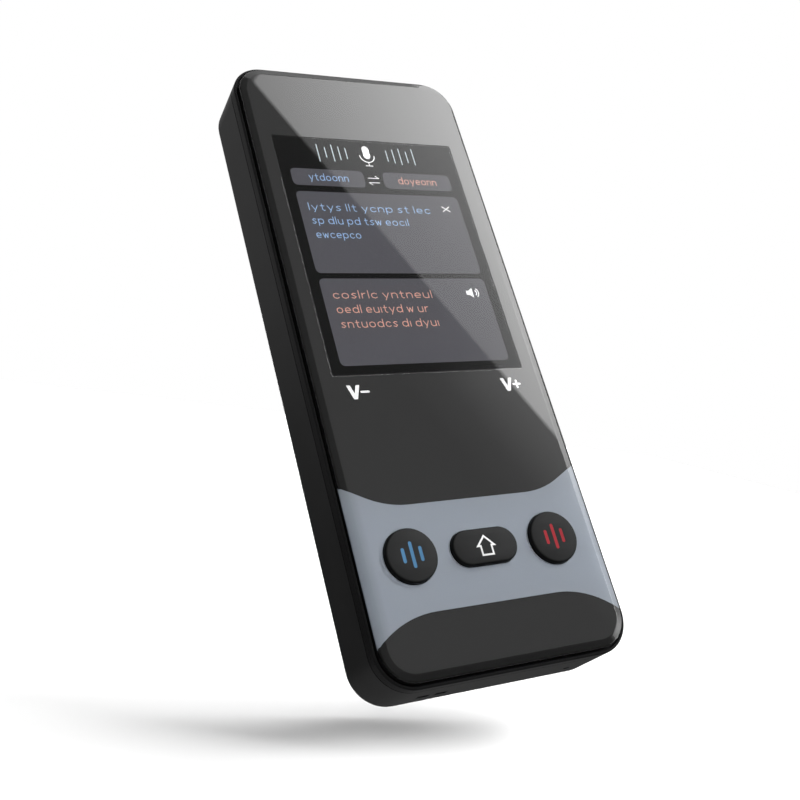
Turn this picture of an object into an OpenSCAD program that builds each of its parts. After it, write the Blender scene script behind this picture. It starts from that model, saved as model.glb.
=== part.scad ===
// Handheld voice translator: a glass-fronted slab with three sprung front keys, a power key on its
// right side, a USB-C port in its top end, and a strap eyelet and microphone hole in its bottom end.
// Back face on z = 0, X across the case, +Y to the top end, +Z out of the front.

/* [Case] */
// Width across the side walls
case_w = 48.2; // [44:0.1:56]
// Length from the bottom end to the top end
case_l = 122; // [112:0.4:136]
// Radius of the four corners, seen from the front
corner_r = 6.65; // [6.5:0.05:8]
// Radius round the back edge
back_edge_r = 2; // [1:0.25:2.5]
// Thickness of the rear shell's walls
wall = 1.5; // [1.4:0.05:1.8]
// Thickness of the rear shell's floor
floor_t = 1.5; // [1.3:0.1:2]
// Height of the front frame's visible ring, from the parting line to its rim
ring_h = 1.95; // [1.6:0.05:2.4]
// Width of the front frame's rim, outside the groove
rim_w = 0.5; // [0.4:0.05:0.7]
// Radius on the rim's outer edge
rim_edge_r = 0.3; // [0.1:0.05:0.35]
// Width of the groove between the rim and the glass
groove_w = 0.4; // [0.25:0.05:0.5]
// Height of the open line between the rear shell and the front frame
parting_gap = 0.15; // [0.05:0.05:0.3]
// Thickness of the front frame's shelf and of the tongue under it
tongue_t = 0.6; // [0.5:0.05:0.7]
// Depth of the tongue inside the rear shell
tongue_h = 1.2; // [0.8:0.1:1.6]

/* [Front] */
// Thickness of the cover glass
glass_t = 0.8; // [0.7:0.05:1.2]
// Width of the glass's curved edge
glass_edge_w = 2.2; // [1:0.1:3]
// Drop of the glass's curved edge
glass_edge_drop = 0.5; // [0.2:0.05:0.6]
// Thickness of the ink printed under the glass
print_t = 0.1; // [0.08:0.02:0.14]
// Thickness of the touch sensor and of the tape beside it
sensor_t = 0.15; // [0.1:0.05:0.3]
// Thickness of the plate that carries the glass and keeps the keys in
carrier_t = 1.05; // [0.8:0.05:1.3]
// Side border, from the window's edge to the outer wall
side_border = 4.8; // [4.4:0.1:7]
// Top border, from the window's edge to the top end
top_border = 16.9; // [15.5:0.1:22]
// Length of the see-through window
window_l = 51.2; // [46:0.2:52]
// Height of the grey band's upper edge above the key row
band_rise = 8.95; // [7:0.05:10]
// Depth of the grey band's lower edge below the key row
band_fall = 9.35; // [7:0.05:10]
// Distance of the volume marks from the window
mark_drop = 3.1; // [2.5:0.1:5]
// Height of the volume marks' letter
mark_h = 2.65; // [1.6:0.05:3]

/* [Display] */
// Thickness of one of the panel's two sheets of glass
panel_sheet_t = 0.6; // [0.4:0.05:0.7]
// Margin of the panel round the window, at its top and sides
panel_margin = 1.2; // [0.8:0.1:1.4]
// Ledge of the panel below the window, where its flex is bonded
panel_ledge = 7.5; // [6:0.1:8]
// Thickness of the backlight
backlight_t = 0.9; // [0.7:0.05:1.2]
// Thickness of the display's steel tray
tray_t = 0.15; // [0.1:0.05:0.2]
// Thickness of the tray's side walls
tray_wall = 0.3; // [0.2:0.05:0.4]
// Thickness of the foam between the shields and the display
foam_t = 0.6; // [0.4:0.05:0.9]

/* [Keys] */
// Space between the home key and a round key
key_space = 2.98; // [2:0.02:3.4]
// Height of the key row's middle above the bottom end
key_row = 20.75; // [18:0.05:24]
// Radius of a round key
round_key_r = 4.65; // [4.2:0.05:4.9]
// Width of the home key
home_key_w = 12.5; // [11:0.1:13]
// Length of the home key
home_key_l = 6.2; // [6:0.1:7.2]
// Height of the keys above the glass
key_proud = 0.85; // [0.5:0.05:1.2]
// Radius round a key's top edge
key_edge_r = 0.5; // [0.3:0.05:0.7]
// Width of the flange that keeps a key in
key_flange_w = 0.6; // [0.4:0.05:0.7]
// Thickness of that flange
key_flange_t = 0.6; // [0.5:0.05:0.7]
// Travel of a front key
key_travel = 0.35; // [0.2:0.05:0.4]
// Length of the side key
side_key_l = 9; // [7:0.1:10]
// Height of the side key
side_key_h = 2.4; // [2:0.1:2.6]
// Height of the side key above the side wall
side_key_proud = 0.5; // [0.3:0.05:0.8]
// Distance of the side key's middle from the top end
side_key_drop = 26.8; // [24:0.2:30]
// Travel of the side key
side_key_travel = 0.3; // [0.2:0.05:0.4]

/* [Board] */
// Thickness of the main board
board_t = 1; // [0.8:0.1:1.2]
// Gap between the main board's long edges and the walls
board_side_gap = 1.7; // [1.4:0.1:2]
// Gap between the main board's short edges and the walls
board_end_gap = 2.3; // [2:0.1:3]
// Height of the two shielding cans
can_h = 1.5; // [1.3:0.1:1.7]
// Radius of the board screws' shanks
board_screw_r = 0.55; // [0.4:0.05:0.6]
// Radius of the case screws' shanks
case_screw_r = 0.7; // [0.6:0.05:0.8]

/* [Power] */
// Width of the battery cell
battery_w = 34; // [28:0.5:34.5]
// Length of the battery cell
battery_l = 50; // [40:0.5:56]
// Thickness of the battery cell
battery_t = 5; // [4.8:0.1:6]
// Width of the USB-C port
usb_w = 8.94; // [8.8:0.02:9]
// Height of the USB-C port
usb_h = 3.26; // [3.1:0.02:3.4]
// Length of the USB-C port
usb_l = 7.35; // [6.5:0.05:8]

/* [Sound] */
// Radius of the loudspeaker
speaker_r = 10; // [9:0.1:11]
// Height of the loudspeaker's middle above the bottom end
speaker_rise = 19.3; // [17:0.1:21]
// Radius of one hole of the loudspeaker's grille
grille_hole_r = 0.65; // [0.4:0.05:0.8]
// Distance between the grille's holes
grille_pitch = 2.4; // [2:0.1:2.6]
// Rings of holes round the grille's middle hole
grille_rings = 2; // [1:1:2]
// Radius of the microphone's sound hole
mic_hole_r = 0.6; // [0.4:0.05:0.7]
// Distance of the microphone from the right side wall
mic_inset = 9.7; // [8.4:0.05:10]

/* [Strap eyelet] */
// Distance of the eyelet's middle from the left side wall
eyelet_inset = 12; // [11:0.1:13]
// Width of one of the eyelet's two slots
slot_w = 2.2; // [2:0.05:2.9]
// Height of the slots
slot_h = 1.4; // [1.1:0.1:1.6]
// Width of the bar between the slots
eyelet_bar_w = 1.1; // [0.5:0.05:1.3]
// Depth of the chamber behind the bar
eyelet_depth = 1.8; // [1.4:0.1:2]

/* [Hidden] */
$fn = 48;

// Clearances
part_gap = 0.1;       // between pieces laid beside each other
key_gap = 0.15;       // between a key and the walls of its hole
flange_gap = 0.2;     // over a key's flange at rest
plunger_gap = 0.05;   // running fit of a switch's plunger
screw_gap = 0.02;     // radial, between a screw and the hole that it cuts its thread in
usb_gap = 0.2;        // between the port and the case's opening
head_gap = 0.1;       // between a screw's head and its seat
shank_gap = 0.15;     // between a screw's shank and the hole that it passes through
pilot_room = 0.5;     // how far a screw's hole runs past its tip
cut = 1;              // how far a cut runs past the face it opens

// Heights, from the back face up
tape_t = 0.1;
battery_z = floor_t + tape_t;
battery_top = battery_z + battery_t;
board_room = 1;                              // between the battery and the board
board_z = battery_top + board_room;
board_top = board_z + board_t;
can_top = board_top + can_h;
tray_z = can_top + foam_t;
backlight_z = tray_z + tray_t;
panel_z = backlight_z + backlight_t + 0.05;
ledge_z = panel_z + panel_sheet_t;
panel_top = ledge_z + panel_sheet_t;
carrier_z = panel_top - carrier_t;
print_z = panel_top + sensor_t;
glass_z = print_z + print_t;
glass_top = glass_z + glass_t;
rim_z = panel_top;
ring_z = rim_z - ring_h;
shell_top = ring_z - parting_gap;
tongue_z = ring_z - tongue_h;

// Outlines in plan
window_w = case_w - 2 * side_border;
top_y = case_l / 2;
bottom_y = -case_l / 2;
window_y = top_y - top_border - window_l / 2;
key_x = home_key_w / 2 + key_space + round_key_r;
key_y = bottom_y + key_row;
glass_inset = rim_w + groove_w;
glass_w = case_w - 2 * glass_inset;
glass_l = case_l - 2 * glass_inset;
glass_r = corner_r - glass_inset;
inner_w = case_w - 2 * wall;
inner_l = case_l - 2 * wall;
inner_r = corner_r - wall;
tongue_gap = 0.08;
tongue_inset = wall - tongue_t;
shelf_w = 2.2;
post_r = 1.9;
post_gap = 0.25;
post_flare = 0.4;
// the posts stand on the diagonals of the inner corners, just clear of the wall
screw_inset = corner_r - (inner_r - post_r - post_gap) / sqrt(2);
case_screw_x = case_w / 2 - screw_inset;
case_screw_y = case_l / 2 - screw_inset;
sensor_margin = 1.3;
sensor_w = window_w + 2 * sensor_margin;
sensor_l = window_l + 2 * sensor_margin + 1;
board_w = inner_w - 2 * board_side_gap;
board_l = inner_l - 2 * board_end_gap;

// Display
panel_top_y = window_y + window_l / 2 + panel_margin;
panel_bottom_y = window_y - window_l / 2 - panel_ledge;
panel_w = window_w + 2 * panel_margin;
panel_l = panel_top_y - panel_bottom_y;
panel_y = (panel_top_y + panel_bottom_y) / 2;
tray_w = panel_w + 2 * (part_gap + tray_wall);
tray_l = panel_l + 2 * (part_gap + tray_wall);
tray_bottom_y = panel_y - tray_l / 2;
flex_t = 0.15;
display_flex_w = 13;
display_flex_x = -2;
touch_flex_w = 4;
touch_flex_x = 9;
flex_reach = 1.6;
flex_gap = 0.4;
flex_tail = 2.2;
flex_bond = 1.2;
flex_drop_y = tray_bottom_y - flex_reach;    // where the flexes turn down to the board
flex_notch_y = flex_drop_y - flex_gap;
connector_l = 2.6;
connector_h = 1;
connector_lip = 0.7;
connector_y = flex_drop_y - flex_tail - connector_l / 2;

// Keys
key_flange_z = carrier_z - flange_gap - key_flange_t;
key_top = glass_top + key_proud;
stem_h = 0.4;
plunger_r = 1;
plunger_show = 0.5;
plunger_room = 0.2;
switch_floor_t = 0.3;
plunger_top = key_flange_z - stem_h;
plunger_z = board_top + switch_floor_t + key_travel + plunger_room;
switch_w = 4.5;
switch_h = plunger_top - board_top - plunger_show;
icon_depth = 0.4;
bar_pitch = 1.6;
bar_l = 3.9;
bar_w = 0.6;
side_key_y = top_y - side_key_drop;
side_key_z = board_z - side_key_h / 2 - 0.25;
side_flange_l = 0.6;
side_flange_h = 0.5;
side_key_inner_x = case_w / 2 - wall - flange_gap - key_flange_t;
side_plunger_r = 0.6;
side_switch_w = 3;
side_switch_l = 5;
side_switch_x = side_key_inner_x - side_key_travel + 0.8 - side_switch_w / 2;
side_switch_z = side_key_z - 1.2;
side_plunger_l = side_switch_w / 2 - 0.5;

// Screws
shell_post_top = floor_t + 2.4;
case_head_r = 1.5;
case_head_t = 0.8;
case_head_z = 0.2;
case_screw_l = 6.9;
board_head_r = 1.3;
board_head_t = 0.6;
boss_r = 1.7;
recess_share = 0.6;                          // length of a head's cross recess, in its diameters
recess_w = 0.35;
recess_depth = 0.35;
board_screw_bite = 2.2;
board_screw_l = board_t + board_screw_bite;
side_screw_x = board_w / 2 - 2.6;
side_screw_drop = 10.3;                      // the upper pair, from the top end
side_screw_gap = 5.9;                        // the middle pair, from the display tray's end
low_screw_x = 7.5;
low_screw_rise = 7.3;                        // the lower pair, from the bottom end
side_screw_ys = [tray_bottom_y - side_screw_gap, top_y - side_screw_drop];
board_screw_spots = [
    for (x = [-side_screw_x, side_screw_x], y = side_screw_ys) [x, y],
    for (x = [-low_screw_x, low_screw_x]) [x, bottom_y + low_screw_rise]
];

// Battery, sound and radio
speaker_y = bottom_y + speaker_rise;
battery_gap = 6;
battery_tape_inset = 4;
battery_board_inset = 2;
battery_r = 1.5;
battery_y = speaker_y + speaker_r + battery_gap + battery_l / 2;
battery_end_y = battery_y + battery_l / 2;
battery_board_l = 3;
battery_board_t = 1.2;
battery_board_z = battery_z + (battery_t - battery_board_t) / 2;
lead_l = 5;
battery_plug_y = battery_end_y + battery_board_l + lead_l;
battery_plug_h = 1.4;
battery_plug_x = -6;
lead_r = 0.4;
lead_pitch = 1.5;
gasket_t = 0.4;
speaker_z = floor_t + gasket_t;
speaker_h = 3.3;
magnet_r = 6;
magnet_t = 1.2;
cone_t = 0.2;
sound_z = board_z - 2;                       // height of the bottom end's slots and hole
eyelet_x = -case_w / 2 + eyelet_inset;
eyelet_wall = 0.8;
mic_x = case_w / 2 - mic_inset;
mic_w = 2.6;
mic_l = 3;
mic_h = 1;
mic_y = bottom_y + wall + 4.2;
mic_boot_l = 6.3;
mic_boot_w = 3.2;
mic_boot_z = sound_z - 1.3;
antenna_t = 0.12;
antenna_l = 19;
antenna_h = 6;
antenna_drop = 17.8;
antenna_y = top_y - antenna_drop;

// ---- Outlines and repeated shapes ----

module rounded_rect(w, l, r) {
    square([w - 2 * r, l], center = true);
    square([w, l - 2 * r], center = true);
    for (x = [-1, 1], y = [-1, 1])
        translate([x * (w / 2 - r), y * (l / 2 - r)]) circle(r = r);
}

// Upright box with round corners, standing on z
module rounded_box(w, l, r, z, h) {
    translate([0, 0, z]) linear_extrude(h) rounded_rect(w, l, r);
}

// Upright box, centred on x and y, standing on z
module box(w, l, z, h) {
    translate([-w / 2, -l / 2, z]) cube([w, l, h]);
}

// Long round-ended outline
module stadium(w, l) {
    square([w - l, l], center = true);
    for (x = [-1, 1])
        translate([x * (w - l) / 2, 0]) circle(r = l / 2);
}

// Slab whose edge section, drawn from a corner's axis outward, runs all round a rounded rectangle
module swept_slab(w, l, r, z0, z1) {
    for (x = [-1, 1], y = [-1, 1])
        translate([x * (w / 2 - r), y * (l / 2 - r), 0]) rotate_extrude() children();
    rotate([90, 0, 0])
        linear_extrude(l - 2 * r, center = true) both_edges(w / 2 - r, z0, z1) children();
    rotate([90, 0, 90])
        linear_extrude(w - 2 * r, center = true) both_edges(l / 2 - r, z0, z1) children();
}

module both_edges(d, z0, z1) {
    for (side = [0, 1])
        mirror([side, 0]) translate([d, 0]) children();
    translate([-d, z0]) square([2 * d, z1 - z0]);
}

module at_case_screws() {
    for (x = [-1, 1], y = [-1, 1])
        translate([x * case_screw_x, y * case_screw_y, 0]) children();
}

module at_board_screws() {
    for (spot = board_screw_spots)
        translate([spot[0], spot[1], 0]) children();
}

module at_keys() {
    for (x = [-1, 1])
        translate([x * key_x, key_y, 0]) children(0);
    translate([0, key_y, 0]) children(1);
}

// The three holes that the keys pass through, opened by gap
module key_holes(gap) {
    at_keys() {
        circle(r = round_key_r + gap);
        stadium(home_key_w + 2 * gap, home_key_l + 2 * gap);
    }
}

// Round-ended stroke between two points
module stroke(a, b, w) {
    d = b - a;
    translate(a) rotate(atan2(d[1], d[0])) {
        translate([0, -w / 2]) square([norm(d), w]);
        circle(r = w / 2);
        translate([norm(d), 0]) circle(r = w / 2);
    }
}

// ---- Case ----

module shell_section() {
    square([corner_r - back_edge_r, shell_top]);
    translate([0, back_edge_r]) square([corner_r, shell_top - back_edge_r]);
    translate([corner_r - back_edge_r, back_edge_r]) circle(r = back_edge_r);
}

module grille_holes() {
    translate([0, speaker_y, -cut]) {
        cylinder(r = grille_hole_r, h = floor_t + 2 * cut);
        for (ring = [1:grille_rings], i = [0:6 * ring - 1])
            rotate(i * 60 / ring)
                translate([ring * grille_pitch, 0, 0]) cylinder(r = grille_hole_r, h = floor_t + 2 * cut);
    }
}

module case_screw_hole() {
    translate([0, 0, -cut]) cylinder(r = case_screw_r + shank_gap, h = shell_post_top + 2 * cut);
    translate([0, 0, -cut]) cylinder(r = case_head_r + head_gap, h = cut + case_head_z);
    translate([0, 0, case_head_z])
        cylinder(r1 = case_head_r + head_gap, r2 = case_screw_r + head_gap, h = case_head_t);
}

module eyelet_block() {
    block_w = 2 * slot_w + eyelet_bar_w + 2 * eyelet_wall;
    translate([eyelet_x - block_w / 2, -inner_l / 2 - wall / 2, floor_t / 2])
        cube([block_w, wall / 2 + eyelet_depth + eyelet_wall,
              sound_z + slot_h / 2 + eyelet_wall - floor_t / 2]);
}

module eyelet_cut() {
    chamber_w = 2 * slot_w + eyelet_bar_w;
    translate([eyelet_x - chamber_w / 2, -inner_l / 2, sound_z - slot_h / 2])
        cube([chamber_w, eyelet_depth, slot_h]);
    for (side = [-1, 1])
        translate([eyelet_x + side * (eyelet_bar_w + slot_w) / 2 - slot_w / 2, -case_l / 2 - cut,
                   sound_z - slot_h / 2])
            cube([slot_w, wall + 2 * cut, slot_h]);
}

module rear_shell() color([0.1, 0.1, 0.11]) difference() {
    union() {
        difference() {
            swept_slab(case_w, case_l, corner_r, 0, shell_top) {
                shell_section();
            }
            rounded_box(inner_w, inner_l, inner_r, floor_t, shell_top);
        }
        at_case_screws() translate([0, 0, floor_t / 2])
            cylinder(r = post_r + post_flare, h = shell_post_top - floor_t / 2);
        eyelet_block();
    }
    // seat of the front frame's tongue
    rounded_box(case_w - 2 * (tongue_inset - tongue_gap), case_l - 2 * (tongue_inset - tongue_gap),
                corner_r - tongue_inset + tongue_gap, tongue_z, shell_top);
    at_case_screws() case_screw_hole();
    grille_holes();
    eyelet_cut();
    translate([mic_x, -inner_l / 2 + cut, sound_z])
        rotate([90, 0, 0]) cylinder(r = mic_hole_r, h = wall + 2 * cut);
    translate([0, case_l / 2 + cut, usb_z]) rotate([90, 0, 0])
        linear_extrude(wall + 2 * cut) stadium(usb_w + 2 * usb_gap, usb_h + 2 * usb_gap);
    translate([case_w / 2 - wall - cut, side_key_y, side_key_z]) rotate([90, 0, 90])
        linear_extrude(wall + 2 * cut) stadium(side_key_l + 2 * key_gap, side_key_h + 2 * key_gap);
}

module ring_section() {
    translate([0, ring_z]) square([corner_r, rim_z - rim_edge_r - ring_z]);
    translate([0, ring_z]) square([corner_r - rim_edge_r, rim_z - ring_z]);
    translate([corner_r - rim_edge_r, rim_z - rim_edge_r]) circle(r = rim_edge_r);
}

module front_frame() color([0.12, 0.12, 0.13]) difference() {
    union() {
        difference() {
            swept_slab(case_w, case_l, corner_r, ring_z, rim_z) {
                ring_section();
            }
            rounded_box(case_w - 2 * rim_w, case_l - 2 * rim_w, corner_r - rim_w, carrier_z, cut + rim_z);
            rounded_box(case_w - 2 * shelf_w, case_l - 2 * shelf_w, corner_r - shelf_w,
                        ring_z - cut, rim_z);
        }
        difference() {
            rounded_box(case_w - 2 * tongue_inset, case_l - 2 * tongue_inset, corner_r - tongue_inset,
                        tongue_z, ring_z - tongue_z + 0.2);
            rounded_box(inner_w, inner_l, inner_r, tongue_z - cut, tongue_h + 2 * cut);
        }
        at_case_screws() {
            translate([0, 0, ring_z]) cylinder(r = post_r + 2 * post_flare, h = carrier_z - ring_z);
            translate([0, 0, shell_post_top]) cylinder(r = post_r, h = carrier_z - shell_post_top);
        }
    }
    at_case_screws() translate([0, 0, shell_post_top - cut])
        cylinder(r = case_screw_r + screw_gap,
                 h = case_screw_l + case_head_z - shell_post_top + cut + pilot_room);
}

module case_screws() color([0.45, 0.45, 0.47]) at_case_screws() difference() {
    union() {
        translate([0, 0, case_head_z])
            cylinder(r1 = case_head_r, r2 = case_screw_r, h = case_head_t);
        translate([0, 0, case_head_z + case_head_t])
            cylinder(r = case_screw_r, h = case_screw_l - case_head_t);
    }
    for (turn = [0, 90])
        translate([0, 0, case_head_z]) rotate(turn)
            cube([recess_share * 2 * case_head_r, recess_w, 2 * recess_depth], center = true);
}

// ---- Glass and what lies under it ----

module glass_section() {
    edge_z = glass_t - glass_edge_drop;
    steps = 6;
    polygon([
        [0, 0], [glass_r, 0],
        for (i = [0:steps])
            [glass_r - glass_edge_w * (1 - cos(90 * i / steps)),
             edge_z + glass_edge_drop * sin(90 * i / steps)],
        [0, glass_t]
    ]);
}

module front_carrier() color([0.05, 0.05, 0.05]) difference() {
    union() {
        rounded_box(glass_w, glass_l, glass_r, carrier_z, carrier_t);
        at_board_screws() translate([0, 0, board_top])
            cylinder(r = boss_r, h = carrier_z - board_top + carrier_t / 2);
    }
    translate([0, panel_y, 0]) box(tray_w + 2 * part_gap, tray_l + 2 * part_gap, carrier_z - cut,
                                   carrier_t + 2 * cut);
    translate([(display_flex_x - display_flex_w / 2 + touch_flex_x + touch_flex_w / 2) / 2,
               (flex_notch_y + panel_y) / 2, 0])
        box(touch_flex_x - display_flex_x + (touch_flex_w + display_flex_w) / 2 + 2 * flex_gap,
            panel_y - flex_notch_y, carrier_z - cut, carrier_t + 2 * cut);
    translate([0, 0, carrier_z - cut]) linear_extrude(carrier_t + 2 * cut) key_holes(key_gap);
    at_board_screws() translate([0, 0, board_top - cut])
        cylinder(r = board_screw_r + screw_gap, h = cut + board_screw_bite + pilot_room);
}

tape_inset = 0.4;
sensor_gap = 0.3;
module glass_tape() color([0.08, 0.08, 0.08]) translate([0, 0, panel_top]) linear_extrude(sensor_t)
    difference() {
        rounded_rect(glass_w - 2 * tape_inset, glass_l - 2 * tape_inset, glass_r - tape_inset);
        translate([0, window_y])
            square([sensor_w + 2 * sensor_gap, sensor_l + 2 * sensor_gap], center = true);
        translate([touch_flex_x, (flex_notch_y + window_y) / 2])
            square([touch_flex_w + 2 * sensor_gap, window_y - flex_notch_y], center = true);
        key_holes(key_gap + sensor_gap);
    }

module touch_sensor() color([0.2, 0.21, 0.22])
    translate([0, window_y, 0]) box(sensor_w, sensor_l, panel_top, sensor_t);

// Flex that leaves one piece at y0 and z0, turns down and runs into a connector
module flex_strip(x, w, y0, z0) {
    z1 = board_top + connector_h / 2;
    translate([x + w / 2, 0, 0]) rotate([90, 0, -90]) linear_extrude(w) polygon([
        [-y0, z0], [-y0, z0 + flex_t], [-flex_drop_y + flex_t, z0 + flex_t],
        [-flex_drop_y + flex_t, z1 + flex_t], [-connector_y - connector_l / 2, z1 + flex_t],
        [-connector_y - connector_l / 2, z1], [-flex_drop_y, z1], [-flex_drop_y, z0]
    ]);
}

module touch_flex() color([0.75, 0.45, 0.15])
    flex_strip(touch_flex_x, touch_flex_w, window_y - sensor_l / 2, panel_top);

module display_flex() color([0.75, 0.45, 0.15])
    flex_strip(display_flex_x, display_flex_w, panel_bottom_y + flex_bond, ledge_z);

// Outline of the grey band: straight across the middle, bending up or down towards the sides
band_flat = 11.5;
band_top_r = 16;
band_top_arc = 7.5;
band_bottom_r = 17.5;
function bend(x, r) = x < band_flat ? 0 : r - sqrt(r * r - (x - band_flat) * (x - band_flat));
function band_slope() = band_top_arc / sqrt(band_top_r * band_top_r - band_top_arc * band_top_arc);
function band_top_at(x) =
    let (over = max(0, x - band_flat - band_top_arc))
    key_y + band_rise + bend(min(x, band_flat + band_top_arc), band_top_r) + over * band_slope();
function band_bottom_at(x) = key_y - band_fall - bend(x, band_bottom_r);

module band_outline() {
    half = glass_w / 2;
    steps = 20;
    xs = [for (i = [-steps:steps]) half * i / steps];
    polygon(concat(
        [for (x = xs) [x, band_top_at(abs(x))]],
        [for (x = xs) [-x, band_bottom_at(abs(x))]]
    ));
}

// Letter V with its bar or cross, the marks of the volume zones
mark_w = 1.8;
mark_stroke = 0.7;                           // across an arm of the V, at its top end
mark_fork = mark_h * mark_stroke / mark_w;
sign_x = 1.14;
sign_arm = 0.68;
sign_stroke = 0.4;
mark_y = window_y - window_l / 2 - mark_drop;
minus_inset = 9.1;
plus_inset = 8;

module volume_mark(plus) {
    half = mark_stroke / 2;
    polygon([
        [-mark_w - half, mark_h / 2], [-mark_w / 2 - half, -mark_h / 2], [-mark_w / 2 + half, -mark_h / 2],
        [half, mark_h / 2], [-half, mark_h / 2], [-mark_w / 2, -mark_h / 2 + mark_fork],
        [-mark_w + half, mark_h / 2]
    ]);
    stroke([sign_x - sign_arm, 0], [sign_x + sign_arm, 0], sign_stroke);
    if (plus)
        stroke([sign_x, -sign_arm], [sign_x, sign_arm], sign_stroke);
}

module volume_marks() {
    translate([-case_w / 2 + minus_inset, mark_y]) volume_mark(false);
    translate([case_w / 2 - plus_inset, mark_y]) volume_mark(true);
}

module printed_border() color([0.06, 0.06, 0.06]) translate([0, 0, print_z]) linear_extrude(print_t)
    difference() {
        rounded_rect(glass_w, glass_l, glass_r);
        translate([0, window_y]) square([window_w, window_l], center = true);
        band_outline();
        volume_marks();
    }

module printed_band() color([0.55, 0.6, 0.68]) translate([0, 0, print_z]) linear_extrude(print_t)
    difference() {
        intersection() {
            rounded_rect(glass_w, glass_l, glass_r);
            band_outline();
        }
        key_holes(key_gap);
    }

module printed_marks() color([0.9, 0.9, 0.9]) translate([0, 0, print_z]) linear_extrude(print_t)
    volume_marks();

module cover_glass() color([0.15, 0.16, 0.17, 0.6]) translate([0, 0, glass_z]) difference() {
    swept_slab(glass_w, glass_l, glass_r, 0, glass_t) {
        glass_section();
    }
    translate([0, 0, -cut]) linear_extrude(glass_t + 2 * cut) key_holes(key_gap);
}

// ---- Display ----

module lcd_panel() color([0.16, 0.17, 0.19]) {
    sheet_gap_y = window_y - window_l / 2 - panel_margin;
    translate([0, panel_y, 0]) box(panel_w, panel_l, panel_z, panel_sheet_t);
    translate([0, (panel_top_y + sheet_gap_y) / 2, 0])
        box(panel_w, panel_top_y - sheet_gap_y, ledge_z, panel_sheet_t);
}

module display_backlight() color([0.95, 0.95, 0.92])
    translate([0, panel_y, 0]) box(panel_w, panel_l, backlight_z, backlight_t);

module display_tray() color([0.7, 0.71, 0.72]) translate([0, panel_y, 0]) difference() {
    box(tray_w, tray_l, tray_z, ledge_z - tray_z);
    box(tray_w - 2 * tray_wall, tray_l - 2 * tray_wall, backlight_z, ledge_z);
}

module display_foam() color([0.15, 0.15, 0.16]) {
    for (spot = [[processor_x, processor_y], [radio_x, radio_y]])
        translate([spot[0], spot[1], 0])
            box(can_w - 2 * foam_inset, can_l - 2 * foam_inset, can_top, foam_t);
}

// ---- Main board ----

can_w = 16;
can_l = 15;
can_wall = 0.2;
can_x = 9;
foam_inset = 0.5;
processor_drop = 10.5;
radio_lift = 11.5;
processor_x = -can_x;
processor_y = window_y - processor_drop;
radio_x = can_x;
radio_y = window_y + radio_lift;
usb_z = board_z - usb_h / 2;
board_notch = post_r + post_flare;

module main_board() color([0.05, 0.22, 0.12]) difference() {
    box(board_w, board_l, board_z, board_t);
    // corners cut square for the case screws' posts
    for (x = [-1, 1], y = [-1, 1])
        translate([x * (case_screw_x - board_notch + screw_inset),
                   y * (case_screw_y - board_notch + screw_inset), 0])
            box(2 * screw_inset, 2 * screw_inset, board_z - cut, board_t + 2 * cut);
    at_board_screws() translate([0, 0, board_z - cut])
        cylinder(r = board_screw_r + shank_gap, h = board_t + 2 * cut);
}

module can(x, y) {
    translate([x, y, 0]) difference() {
        box(can_w, can_l, board_top, can_h);
        box(can_w - 2 * can_wall, can_l - 2 * can_wall, board_top - cut, can_h + cut - can_wall);
    }
}

module processor_can() color([0.75, 0.76, 0.78]) can(processor_x, processor_y);

module radio_can() color([0.75, 0.76, 0.78]) can(radio_x, radio_y);

processor_w = 9;
memory_w = 4;
memory_l = 8;
radio_w = 7;
charger_w = 4;
amplifier_w = 3;
chip_h = 0.8;
charger_drop = 9;
amplifier_gap = 6;
small_w = 0.8;
small_l = 0.5;
small_h = 0.4;
small_row_lift = 3.5;
small_row_gap = 2;

// Row of resistors and capacitors
module small_parts(x, y, count) {
    for (i = [0:count - 1])
        translate([x + (i - (count - 1) / 2) * 2 * small_w, y, 0])
            box(small_w, small_l, board_top, small_h);
}

module board_chips() color([0.08, 0.08, 0.09]) {
    translate([processor_x - memory_w / 2, processor_y, 0])
        box(processor_w, processor_w, board_top, chip_h);
    translate([processor_x + processor_w / 2 + 0.4, processor_y, 0])
        box(memory_w, memory_l, board_top, chip_h);
    translate([radio_x, radio_y, 0]) box(radio_w, radio_w, board_top, chip_h);
    translate([-can_x, top_y - charger_drop, 0]) box(charger_w, charger_w, board_top, chip_h);
    translate([-can_x, connector_y - amplifier_gap, 0]) box(amplifier_w, amplifier_w, board_top, chip_h);
    small_parts(-can_x, window_y + small_row_lift, 8);
    small_parts(can_x, window_y + window_l / 2 + small_row_gap, 6);
}

module flex_connectors() color([0.2, 0.19, 0.17]) {
    translate([display_flex_x, connector_y, 0])
        connector_block(display_flex_w);
    translate([touch_flex_x, connector_y, 0])
        connector_block(touch_flex_w);
}

module connector_block(w) {
    difference() {
        box(w + 2 * connector_lip, connector_l, board_top, connector_h);
        translate([0, connector_l / 2, 0])
            box(w, connector_l, board_top + connector_h / 2, flex_t);
    }
}

module board_screws() color([0.6, 0.6, 0.62]) at_board_screws() difference() {
    union() {
        translate([0, 0, board_z - board_head_t]) cylinder(r = board_head_r, h = board_head_t);
        translate([0, 0, board_z]) cylinder(r = board_screw_r, h = board_screw_l);
    }
    for (turn = [0, 90])
        translate([0, 0, board_z - board_head_t]) rotate(turn)
            cube([recess_share * 2 * board_head_r, recess_w, 2 * recess_depth], center = true);
}

// ---- Front keys ----

module key_cap_section(r) {
    h = key_top - key_flange_z;
    square([r - key_edge_r, h]);
    square([r, h - key_edge_r]);
    translate([r - key_edge_r, h - key_edge_r]) circle(r = key_edge_r);
}

module key_stem() {
    translate([0, 0, plunger_top]) cylinder(r = plunger_r + 0.3, h = stem_h);
}

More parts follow.
